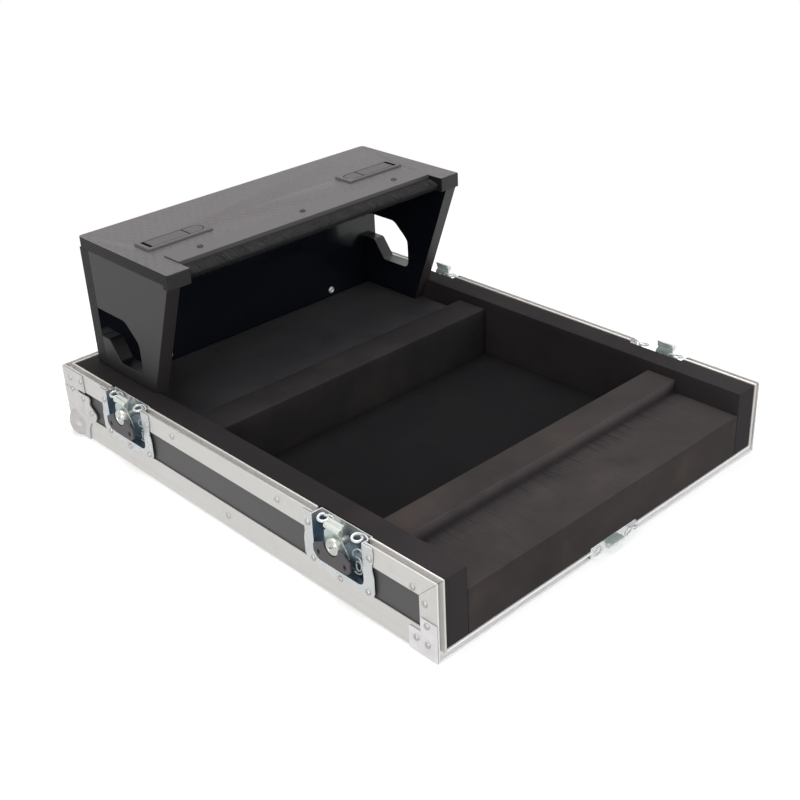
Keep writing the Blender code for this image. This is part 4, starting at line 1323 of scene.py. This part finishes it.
@dataclass
class Brush:
    """The bristles under the strip, grown from a grid of points, and their backing."""

    columns: int = 1000
    rows: int = 6
    length: float = 0.01649
    droop: float = 0.34
    root_radius: float = 0.00024
    clumping: float = 0.0008
    backing: float = 0.0055
    lowest: float = 0.0052
    highest: float = 0.0003
    margin: float = 0.0006
    overlap: float = 0.0002

    def build(self) -> None:
        """Grows a drooping bristle on each point of the CAD backing's face."""
        low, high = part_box("brush_bristles")
        face = high.y - self.backing
        bottom, top = high.z - self.lowest, high.z - self.highest
        start, span = low.x + self.margin, high.x - low.x - 2 * self.margin
        spots = [((start + span * (i + 0.5 * (j % 2)) / self.columns, face + self.overlap,
                   bottom + (top - bottom) * (j + 0.5) / self.rows), (0.0, -1.0, 0.0))
                 for i in range(self.columns) for j in range(self.rows)]
        sizes = {"Length": self.length, "Radius": self.root_radius, "Droop": self.droop,
                 "Clumping": self.clumping}
        tree, given = new_group("bristles", sizes)
        hairs = grown("brush_hairs", spots, tree, self.hung(tree, given, self.row(tree, given)),
                      Finishes.bristle, sizes)
        settle(hairs, "lid", Finishes.bristle, "brush_bristles")
        foot = bottom - self.overlap
        outline = [(low.x, foot), (high.x, foot), (high.x, high.z), (low.x, high.z)]
        piece("brush_backing", prism(outline, face, high.y, axis=1), [Finishes.plastic_dark_and_shade],
              "lid", edge=BROAD)

    @staticmethod
    def row(tree: Tree, given: dict[str, Number]) -> Number:
        """A straight tapered bristle on each point, tilted and cut at random.

        Args:
            tree: the geometry tree.
            given: its inputs by name.

        Returns:
            The bristles.
        """
        line = tree.number("GeometryNodeCurvePrimitiveLine", {"Start": (0, 0, 0),
                                                              "End": (0, -1, 0)})
        hair = tree.number("GeometryNodeResampleCurve", {"Curve": line, "Count": 5})
        along = tree.number("GeometryNodeSplineParameter", output="Factor")
        thin = tree.number("GeometryNodeSetCurveRadius", {
            "Curve": hair, "Radius": along.ranged(0.0, 1.0, 1.0, 0.35)})
        kept = tree.number("GeometryNodeStoreNamedAttribute", {
            "Geometry": thin, "Name": "along", "Value": along}, data_type="FLOAT",
            domain="POINT")
        ring = tree.number("GeometryNodeCurvePrimitiveCircle", {"Resolution": 3, "Radius": 1.0},
                           mode="RADIUS")
        sized = tree.number("GeometryNodeTransform", {
            "Geometry": ring, "Scale": tree.joined(*[given["Radius"]] * 3)})
        body = tree.number("GeometryNodeCurveToMesh", {
            "Curve": kept, "Profile Curve": sized, "Fill Caps": True})
        long = tree.number("GeometryNodeTransform", {
            "Geometry": body, "Scale": tree.joined(1.0, given["Length"], 1.0)})
        tilt, size = (tree.number("FunctionNodeRandomValue", {
            "Min": least, "Max": most, "Seed": given["Seed"]}, data_type="FLOAT_VECTOR")
            for least, most in (((-0.08, -3.14, -0.09), (0.05, 3.14, 0.10)),
                                ((1.0, 0.90, 1.0), (1.0, 1.0, 1.0))))
        placed = tree.number("GeometryNodeInstanceOnPoints", {
            "Points": given["Geometry"], "Instance": long, "Rotation": tilt, "Scale": size})
        return tree.number("GeometryNodeRealizeInstances", {"Geometry": placed})

    @staticmethod
    def hung(tree: Tree, given: dict[str, Number], row: Number) -> Number:
        """The bristles bent down by their droop, and drawn together in clumps.

        Args:
            tree: the geometry tree.
            given: its inputs by name.
            row: the straight bristles.

        Returns:
            The bent bristles.
        """
        share = tree.number("GeometryNodeInputNamedAttribute", {"Name": "along"},
                            data_type="FLOAT")
        bent = share * share
        place = tree.number("GeometryNodeInputPosition")
        lumps = tree.noise(160.0, 2.0, tree.vector("MULTIPLY", place, (1.0, 0.0, 0.3)))
        pull = (lumps - 0.5) * (given["Clumping"] * 4.0)
        fall = given["Droop"] * given["Length"] * -1.0
        shift = tree.joined(pull * bent, 0.0, fall * bent)
        return tree.number("GeometryNodeSetPosition", {"Geometry": row, "Offset": shift})


@dataclass
class FlushLatch:
    """A flush latch in the lid: housing, lever, button and bolt."""

    side: Side
    ease: float = 0.0004
    bezel: float = 0.0026

    def build(self) -> None:
        """Dresses the latch's four pieces."""
        start = f"{self.side.word}_flush_"
        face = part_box(start + "housing")[1].z - self.bezel
        # Inside its well the housing takes the near-black plastic, and on its bezel's sides the
        # darker board edge finish: painted shade.
        over(start + "housing", [Finishes.bezel, Finishes.plastic_dark_and_shade, Finishes.board_edge],
             SOFT, "lid", choose=lambda at, way: 1 if at.z < face else 0 if way.z > 0.2 else 2)
        for part, finish in (("lever", Finishes.plastic), ("button", Finishes.plastic),
                             ("bolt", Finishes.zinc)):
            over(start + part, [finish], WIDE, start + part, self.eased(start + part))

    def eased(self, node: str) -> Shape:
        """A node's shape drawn in a little all round, so the gap beside it reads as dark.

        Args:
            node: the node.

        Returns:
            Its mesh.
        """
        shape = merged(node)
        low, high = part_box(node)
        middle, size = (low + high) / 2, high - low
        for vertex in shape.verts:
            for axis in (0, 1):
                share = 1 - 2 * self.ease / size[axis]
                vertex.co[axis] = middle[axis] + (vertex.co[axis] - middle[axis]) * share
        return shape


# Butterfly latches

@dataclass
class ButterflyLatch:
    """A recessed butterfly latch in its own frame: along the wall, up, and into the case."""

    name: str
    matrix: Matrix
    sunk: bool = False
    drop: float = 0.020
    head_radius: float = 0.0095
    head_thickness: float = 0.0075
    neck: float = 0.004
    roll_radius: float = 0.0034
    roll_drop: float = 0.0036
    roll_proud: float = 0.0032
    roll_half: float = 0.0112
    plate: float = 0.0032
    sunk_plate: float = 0.0020
    plate_cut: float = 0.0098
    lip_half: float = 0.0104
    tip_rise: float = 0.0010
    lip_rise: float = 0.0018
    lip_height: float = 0.0040
    lip_lean: float = 0.0034
    hook_offset: float = 0.0045
    blade_half: float = 0.0006
    slot_half: Flat = (0.0048, 0.0009)
    slot_lean: float = math.radians(-38)
    wire: float = 0.0015
    thin_wire: float = 0.0008
    eye: Flat = (0.0055, 0.0050)
    eye_place: Point = (0.0250, -0.0028, 0.0028)
    eye_lean: float = math.radians(10)
    flange: float = 0.0012
    upper_edge: float = 0.004
    lap: float = 0.0004
    relief: float = 0.0002
    roll_shadow: Flat = (0.0012, 0.0003)
    blade_front: float = 0.0008
    slot_depth: float = 0.002
    slot_corner: float = 0.0008
    thin_edge: float = 0.0002

    def build(self) -> None:
        """Dresses the dish, hook, rotor and wing, and adds the blade and the springs."""
        self.dish()
        self.hook()
        wing = f"{self.name}_latch_wing"
        # The wing's dark grey is a painted reflection.
        over(wing, [Finishes.wing], BROAD, wing, smooth=40.0)
        self.rotor()
        self.springs()

    def local(self, node: str) -> tuple[Vector, Vector]:
        """A CAD node's box in the latch's frame.

        Args:
            node: the node.

        Returns:
            The box's two corners.
        """
        back = self.matrix.inverted()
        places = [back @ v.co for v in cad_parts[node].data.vertices]
        return tuple(Vector([pick(p[k] for p in places) for k in range(3)]) for pick in (min, max))

    def put(self, name: str, shape: Shape, finishes: Sequence[Finish], body: str,
            edge: float = 0.0) -> None:
        """Moves a piece drawn in the latch's frame into place, and settles it."""
        piece(f"{self.name}_{name}", moved(shape, self.matrix), finishes, body, edge=edge,
              smooth=50.0)

    def dish(self) -> None:
        """The pressed dish: pale on its flange and its upper edge, with painted shade down in its
        tray.
        """
        back = self.matrix.inverted()
        turn = back.to_3x3()

        def choose(middle: Vector, normal: Vector) -> int:
            """0 on the flange and the tray's upper edge, 1 in the tray, 2 on its side walls, where
            1 and 2 take painted shade.

            Args:
                middle: the face's middle.
                normal: its normal.

            Returns:
                The number of its finish.
            """
            place, way = back @ middle, turn @ normal
            if place.z < self.flange or way.y > 0.7 and place.y > -self.upper_edge:
                return 0
            return 2 if abs(way.x) > 0.7 else 1

        finishes = [Finishes.zinc, Finishes.zinc_tray_shaded, Finishes.zinc_wall_shaded]
        over(f"{self.name}_latch_dish", [Finishes.zinc] * 3 if self.sunk else finishes, WIDE,
             smooth=40.0, segments=3, choose=choose)

    def hook(self) -> None:
        """The hook: the CAD's plate, run up into a bent lip, with a roll before it and a blade; the
        roll, the lip's outer faces and the blade carry a painted highlight, and a dark strip under
        the roll is a painted shadow.
        """
        node = f"{self.name}_latch_hook"
        raised = self.local(node)[1].y - self.tip_rise
        face = self.local(f"{self.name}_latch_rotor")[0].z + self.head_thickness + GAP
        foot, bend, tip = (raised - self.plate_cut, raised - self.lip_height,
                           raised + self.lip_rise)
        plate = moved(merged(node), self.matrix.inverted())
        found = bmesh.ops.bisect_plane(
            plate, geom=plate.verts[:] + plate.edges[:] + plate.faces[:],
            plane_co=(0, foot, 0), plane_no=(0, 1, 0), clear_outer=True)
        cut = [e for e in found["geom_cut"] if isinstance(e, bmesh.types.BMEdge)]
        bmesh.ops.holes_fill(plate, edges=cut)
        over(node, [Finishes.hook], SOFT, node, moved(plate, self.matrix), smooth=40.0)
        lean = 0.0 if self.sunk else self.lip_lean
        thick = self.sunk_plate if self.sunk else self.plate
        lip = self.strip([(foot - self.lap, face), (bend, face), (tip, face + lean),
                          (tip, face + lean + thick * 0.8), (bend, face + thick),
                          (foot - self.lap, face + thick)], self.lip_half)
        # The lip's tip and outward faces above the bend take the paler finish: painted highlight.
        paint(lip, lambda at, way: 1 if at.y > bend and (
            at.y > raised + self.lip_rise * 0.6 or way.z < -0.5) else 0)
        self.put("hook_lip", lip, [Finishes.hook, Finishes.roll], node, FINE)
        up = raised - self.roll_drop
        middle = face + self.roll_radius - self.roll_proud
        if self.sunk:
            middle = face + self.sunk_plate - self.roll_radius - self.relief
        rod = self.strip([(up + self.roll_radius * p, middle + self.roll_radius * q)
                          for p, q in circle(28)], self.roll_half)
        self.put("hook_roll", rod, [Finishes.roll], node, SOFT)
        # A thin dark strip just under the roll: painted shadow.
        edge = up - self.roll_radius * 0.9
        low, front, behind = edge - self.roll_shadow[0], face - self.relief, face + self.roll_shadow[1]
        roll_shadow = self.strip([(low, front), (edge, front), (edge, behind), (low, behind)],
                          self.roll_half * 0.96)
        self.put("hook_roll_shadow", roll_shadow, [Finishes.roll_shadow], node)
        path = [Vector(p) for p in smooth_path(
            [(-0.0066, -0.0092, 0), (-0.0082, -0.0140, 0), (-0.0112, -0.0192, 0),
             (-0.0146, -0.0246, 0), (-0.0164, -0.0300, 0)], 5)]
        ways = [(b - a).normalized() for a, b in zip(path, path[1:])]
        ways.append(ways[-1])
        left, right = ([(p.x - w.y * off, p.y + w.x * off + raised) for p, w in zip(path, ways)]
                       for off in (self.blade_half, -self.blade_half))
        # The blade's thin edge takes the paler finish: painted highlight.
        blade = prism(left + right[::-1], face - self.relief, face + self.blade_front)
        self.put("hook_blade", blade, [Finishes.roll], node, self.thin_edge)

    def strip(self, section: Sequence[Flat], half: float) -> Shape:
        """A section in (up, into the case), pushed along the wall by half to both sides."""
        return prism(section, self.hook_offset - half, self.hook_offset + half, axis=0)

    def rotor(self) -> None:
        """The round head, with a raised ring and a slot, on its spindle."""
        node = f"{self.name}_latch_rotor"
        low, high = self.local(node)
        face, radius = low.z, self.head_radius
        rim = [(1.0, self.head_thickness), (1.0, 0.0018), (0.95, 0.0008), (0.86, 0.0002),
               (0.76, 0.0002), (0.70, 0.0010), (0.60, 0.0011), (0.54, 0.0004), (0.25, 0.0002),
               (0.0, 0.0001)]
        shape = lathe([(0, high.z), (self.neck, high.z), (self.neck, face + self.head_thickness)]
                      + [(radius * share, face + deep) for share, deep in rim], 40)
        moved(shape, Matrix.Translation((0, -self.drop, 0)))
        obj = to_object(f"{self.name}_rotor_head", shape, [Finishes.head], 50.0)
        half, side = self.slot_half
        slot = rounded([(-half, -side), (half, -side), (half, side), (-half, side)],
                       self.slot_corner, 3)
        cos, sin = math.cos(self.slot_lean), math.sin(self.slot_lean)
        turned = [(p * cos - q * sin, p * sin + q * cos - self.drop) for p, q in slot]
        deep = self.slot_depth
        cutter = to_object("slot_cutter", prism(turned, face - deep, face + deep), [], 32.0)
        boolean = obj.modifiers.new("slot", "BOOLEAN")
        boolean.operation = "DIFFERENCE"
        boolean.object = cutter
        boolean.solver = "EXACT"
        seen = obj.evaluated_get(bpy.context.evaluated_depsgraph_get())
        result = bpy.data.meshes.new_from_object(seen)
        result.transform(self.matrix)
        if self.matrix.determinant() < 0:
            result.flip_normals()
        smoothed(result, 50.0)
        obj.modifiers.clear()
        obj.data = result
        bpy.data.objects.remove(cutter)
        rounded_edges(obj, self.thin_edge)
        settle(obj, node, Finishes.head, node)

    def springs(self) -> None:
        """Two thick wire eyes at the rim with their tails, and a thin loop in the tray."""
        shape = bmesh.new()
        x, y, z = self.eye_place
        cos, sin = math.cos(self.eye_lean), math.sin(self.eye_lean)
        for sign, start in ((-1, math.radians(100)), (1, math.radians(60))):
            eye = []
            for i in range(25):
                turn = start + TURN * i / 24
                deep = self.eye[1] * math.sin(turn)
                rise = self.wire * (i / 24 - 0.5) * 1.2
                eye.append((sign * x + self.eye[0] * math.cos(turn), y + deep * sin + rise,
                            z + deep * cos))
            tube(shape, eye, self.wire * (0.7 if self.sunk else 1.0))
        tails = [
            [(-0.0262, 0.0002, 0.0078), (-0.0315, 0.0012, 0.0072), (-0.0366, 0.0006, 0.0058),
             (-0.0374, -0.0014, 0.0044), (-0.0350, -0.0040, 0.0034)],
            [(0.0220, 0.0000, 0.0076), (0.0165, -0.0004, 0.0076), (0.0142, -0.0030, 0.0072),
             (0.0138, -0.0080, 0.0068), (0.0150, -0.0130, 0.0070)],
            [(-0.0102, -0.0340, 0.0088), (-0.0106, -0.0290, 0.0086), (-0.0149, -0.0240, 0.0082),
             (-0.0200, -0.0215, 0.0080), (-0.0244, -0.0225, 0.0080), (-0.0272, -0.0280, 0.0082)],
            [(-0.0148, -0.0322, 0.0076), (-0.0203, -0.0315, 0.0072), (-0.0238, -0.0345, 0.0070),
             (-0.0254, -0.0398, 0.0070), (-0.0248, -0.0450, 0.0070), (-0.0211, -0.0500, 0.0072),
             (-0.0160, -0.0516, 0.0074), (-0.0126, -0.0508, 0.0076)],
            [(-0.0144, -0.0390, 0.0086), (-0.0187, -0.0369, 0.0082), (-0.0221, -0.0392, 0.0080),
             (-0.0217, -0.0448, 0.0080), (-0.0177, -0.0482, 0.0082), (-0.0146, -0.0464, 0.0086),
             (-0.0140, -0.0410, 0.0088)]]
        for path in tails[:1] if self.sunk else tails:
            tube(shape, smooth_path(path), self.thin_wire)
        self.put("latch_springs", shape, [Finishes.bright], "case")


@dataclass
class Latches:
    """The five butterfly latches, placed by their distance from the case's ends."""

    inset: float = 0.136
    rim: float = 0.0915

    def build(self) -> list[ButterflyLatch]:
        """Makes every latch.

        Returns:
            The latches on the walls, for their rivets.
        """
        front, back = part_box("left_front_profile")[0].y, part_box("back_wall")[1].y
        latches = [ButterflyLatch(f"{side.word}_{place}", self.frame(
            (side.value * HALF, y, self.rim), (0, -side.value, 0), (0, 0, 1),
            (-side.value, 0, 0)))
            for side in Side
            for y, place in ((front + self.inset, "front"), (back - self.inset, "rear"))]
        bottom = ButterflyLatch("bottom", self.frame((0, front, LIFT), (-1, 0, 0), (0, -1, 0),
                                                     (0, 0, 1)), sunk=True)
        for latch in latches + [bottom]:
            latch.build()
        return latches

    @staticmethod
    def frame(origin: Point, along: Point, up: Point, depth: Point) -> Matrix:
        """The matrix that takes a latch's own directions into the world."""
        return Matrix.Translation(origin) @ Matrix((along, up, depth)).transposed().to_4x4()


# Small fasteners

@dataclass
class Fasteners:
    """Rivets, the housing's bolt heads and the strip's screws."""

    angle: float = 0.0003
    plate: float = 0.0018
    ear: float = 0.0021
    on_side: tuple[tuple[float, float, str], ...] = (
        (0.0335, 0.0709, "angle"), (0.0179, 0.0594, "angle"), (0.325, 0.0155, "angle"),
        (0.231, 0.078, "angle"), (0.419, 0.078, "angle"), (0.0145, 0.0365, "plate"),
        (0.0292, 0.0155, "plate"), (0.0142, 0.0147, "plate"), (0.6365, 0.0768, "plate"),
        (0.6113, 0.0793, "plate"), (0.636, 0.0616, "plate"), (0.6123, 0.0562, "ear"),
        (0.5964, 0.0413, "ear"))
    on_back: tuple[tuple[float, float, str], ...] = (
        (0.0145, 0.0768, "plate"), (0.037, 0.0793, "plate"), (0.030, 0.0562, "ear"),
        (0.030, 0.030, "ear"))
    on_latch: tuple[Flat, ...] = ((0.0455, -0.0155), (-0.0455, -0.0155), (0.041, -0.0567),
                                  (-0.041, -0.0567), (0.0, -0.0615))
    bolts: Flat = (0.136, 0.0725)
    screws: Flat = (0.1504, 0.15825)

    def build(self, latches: Sequence[ButterflyLatch]) -> None:
        """Makes every fastener.

        Args:
            latches: the latches whose flanges are riveted.
        """
        spots = self.rivets(latches)
        dome = [(0.0, 0.30), (0.30, 0.30), (0.34, 0.84), (0.44, 1.0), (0.62, 0.94), (0.86, 0.62),
                (1.0, 0.16), (1.0, -0.2)]
        pin = [(0.0, 0.55), (0.55, 0.60), (0.85, 0.45), (1.0, 0.20), (1.0, -0.1)]
        bolt = [(0.0, 0.45), (0.40, 0.45), (0.46, 0.86), (0.62, 1.0), (0.86, 0.72), (1.0, 0.25),
                (1.0, -0.1)]
        screw = [(0.0, 0.95), (0.25, 1.0), (0.5, 0.96), (0.56, 0.95), (0.84, 0.62), (1.0, 0.1),
                 (1.0, -0.1)]
        Heads("case_rivets", Finishes.rivet, dome, 0.0037).build(spots, "case")
        Heads("rivet_pins", Finishes.pin, pin, 0.00115).build(spots, "case")
        (x, z), face = self.bolts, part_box("housing_back_board")[0].y
        Heads("housing_bolts", Finishes.bright, bolt, 0.0048, 0.0022).build(
            [((sign * x, face, z), (0.0, -1.0, 0.0)) for sign in (-1, 1)], "case")
        (x, y), top = self.screws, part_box("brush_holder")[1].z
        Heads("strip_screws", Finishes.screw, screw, 0.0040, 0.0016, 24, 0.75).build(
            [((sign * x, y, top), (0.0, 0.0, 1.0)) for sign in (-1, 0, 1)], "lid")

    def rivets(self, latches: Sequence[ButterflyLatch]) -> list[tuple[Point, Point]]:
        """Where each rivet stands and which way it faces.

        Args:
            latches: the latches whose flanges are riveted.

        Returns:
            (place, direction) of each rivet.
        """
        front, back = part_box("left_front_profile")[0].y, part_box("back_wall")[1].y
        spots = []
        for side in Side:
            sign = side.value
            spots += [((sign * (HALF + getattr(self, seat) - GAP), front + y, LIFT + z),
                       (sign, 0.0, 0.0)) for y, z, seat in self.on_side]
            spots += [((sign * (HALF - x), back + getattr(self, seat) - GAP, LIFT + z),
                       (0.0, 1.0, 0.0)) for x, z, seat in self.on_back]
        for latch in latches:
            way = tuple(latch.matrix.to_3x3() @ Vector((0, 0, -1)))
            spots += [(tuple(latch.matrix @ Vector((along, up, -GAP - PLATE))), way)
                      for along, up in self.on_latch]
        return spots


# Studio

@dataclass
class Studio:
    """The floor, the lamps, the world and the camera."""

    eye: Point = (-0.87948, -0.96962, 0.76804)
    heading: float = 0.73656
    dip: float = 0.49860
    roll: float = -0.04742
    lens: float = 56.03
    floor_half: float = 9.0
    fade: Flat = (0.45, 0.85)
    floor_grey: float = 0.82
    floor_glow: float = 0.42
    sky: float = 0.26

    def build(self) -> None:
        """Makes the whole studio."""
        self.camera()
        self.floor()
        self.world()
        self.lamp("overhead", (0.1, 0.3, 2.4), (0.0, 0.0, 0.0), 1.6, 46.0)
        self.lamp("front_left", (-2.4, -1.1, 1.1), (0.0, 0.0, 0.1), 1.2, 22.0)
        self.lamp("front", (0.9, -2.6, 1.0), (0.0, 0.0, 0.1), 1.2, 20.0)
        bpy.context.scene.view_settings.view_transform = "Standard"

    def camera(self) -> None:
        """The camera at the photograph's place, angle and lens."""
        data = bpy.data.cameras.new("camera")
        data.lens = self.lens
        data.sensor_width = 36.0
        data.clip_start = 0.05
        obj = linked("camera", data)
        ahead = Vector((math.sin(self.heading) * math.cos(self.dip),
                        math.cos(self.heading) * math.cos(self.dip), -math.sin(self.dip)))
        right = ahead.cross(Vector((0, 0, 1))).normalized()
        above = right.cross(ahead)
        cos, sin = math.cos(self.roll), math.sin(self.roll)
        axes = Matrix((cos * right + sin * above, cos * above - sin * right, -ahead))
        obj.matrix_world = Matrix.Translation(self.eye) @ axes.transposed().to_4x4()
        bpy.context.scene.camera = obj

    def floor(self) -> None:
        """A pale floor that stays white to the camera and keeps the shadow."""
        size = self.floor_half
        mesh = bpy.data.meshes.new("floor")
        mesh.from_pydata([(-size, -size, 0), (size, -size, 0), (size, size, 0), (-size, size, 0)],
                         [], [(0, 1, 2, 3)])
        made = bpy.data.materials.new("floor_sheet")
        made.use_nodes = True
        made.node_tree.nodes.remove(made.node_tree.nodes["Principled BSDF"])
        tree = Tree(made.node_tree)
        path = tree.add("ShaderNodeLightPath").outputs
        matt = tree.number("ShaderNodeBsdfDiffuse", {"Color": (self.floor_grey,) * 3 + (1.0,)})
        glow = tree.number("ShaderNodeEmission", {"Color": WHITE, "Strength": self.floor_glow})
        lit = tree.number("ShaderNodeAddShader", {0: matt, 1: glow})
        white = tree.number("ShaderNodeEmission", {"Color": WHITE, "Strength": 1.0})
        seen = tree.maths("MAXIMUM", path["Is Glossy Ray"], path["Is Transmission Ray"])
        where = tree.add("ShaderNodeTexCoord").outputs["Object"]
        away = tree.vector("LENGTH", where, output="Value").ranged(*self.fade)
        faded = tree.number("ShaderNodeMixShader", {0: away, 1: lit, 2: white})
        first = tree.number("ShaderNodeMixShader", {0: path["Is Camera Ray"], 1: matt, 2: faded})
        second = tree.number("ShaderNodeMixShader", {0: seen, 1: first, 2: white})
        tree.feed(made.node_tree.nodes["Material Output"].inputs["Surface"], second)
        mesh.materials.append(made)
        linked("floor", mesh)

    def world(self) -> None:
        """An even sky that lights softly, and is white to the camera and in reflections."""
        world = bpy.data.worlds.new("sky")
        bpy.context.scene.world = world
        world.use_nodes = True
        world.node_tree.nodes.clear()
        tree = Tree(world.node_tree)
        path = tree.add("ShaderNodeLightPath").outputs
        soft, white = (tree.number("ShaderNodeBackground", {"Color": WHITE, "Strength": strength})
                       for strength in (self.sky, 1.0))
        clear = tree.maths("MAXIMUM", path["Is Glossy Ray"], path["Is Transmission Ray"])
        seen = tree.maths("MAXIMUM", path["Is Camera Ray"], clear)
        mix = tree.number("ShaderNodeMixShader", {0: seen, 1: soft, 2: white})
        tree.add("ShaderNodeOutputWorld", {"Surface": mix})

    @staticmethod
    def lamp(name: str, place: Point, target: Point, size: float, power: float) -> None:
        """A square soft lamp.

        Args:
            name: its name.
            place: where it hangs.
            target: what it points at.
            size: its side in metres.
            power: its power in watts.
        """
        data = bpy.data.lights.new(name, "AREA")
        data.shape = "SQUARE"
        data.size = size
        data.energy = power
        turn = (Vector(target) - Vector(place)).to_track_quat("-Z", "Y").to_matrix().to_4x4()
        linked(name, data).matrix_world = Matrix.Translation(place) @ turn


def main() -> None:
    """Makes every piece in order."""
    logging.basicConfig(level=logging.INFO, format="%(message)s")
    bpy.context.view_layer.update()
    Studio().build()
    Shell().build()
    FoamLining().build()
    Housing().build()
    Brush().build()
    for side in Side:
        FlushLatch(side).build()
    latches = Latches().build()
    Fasteners().build(latches)


if __name__ == "__main__":
    main()
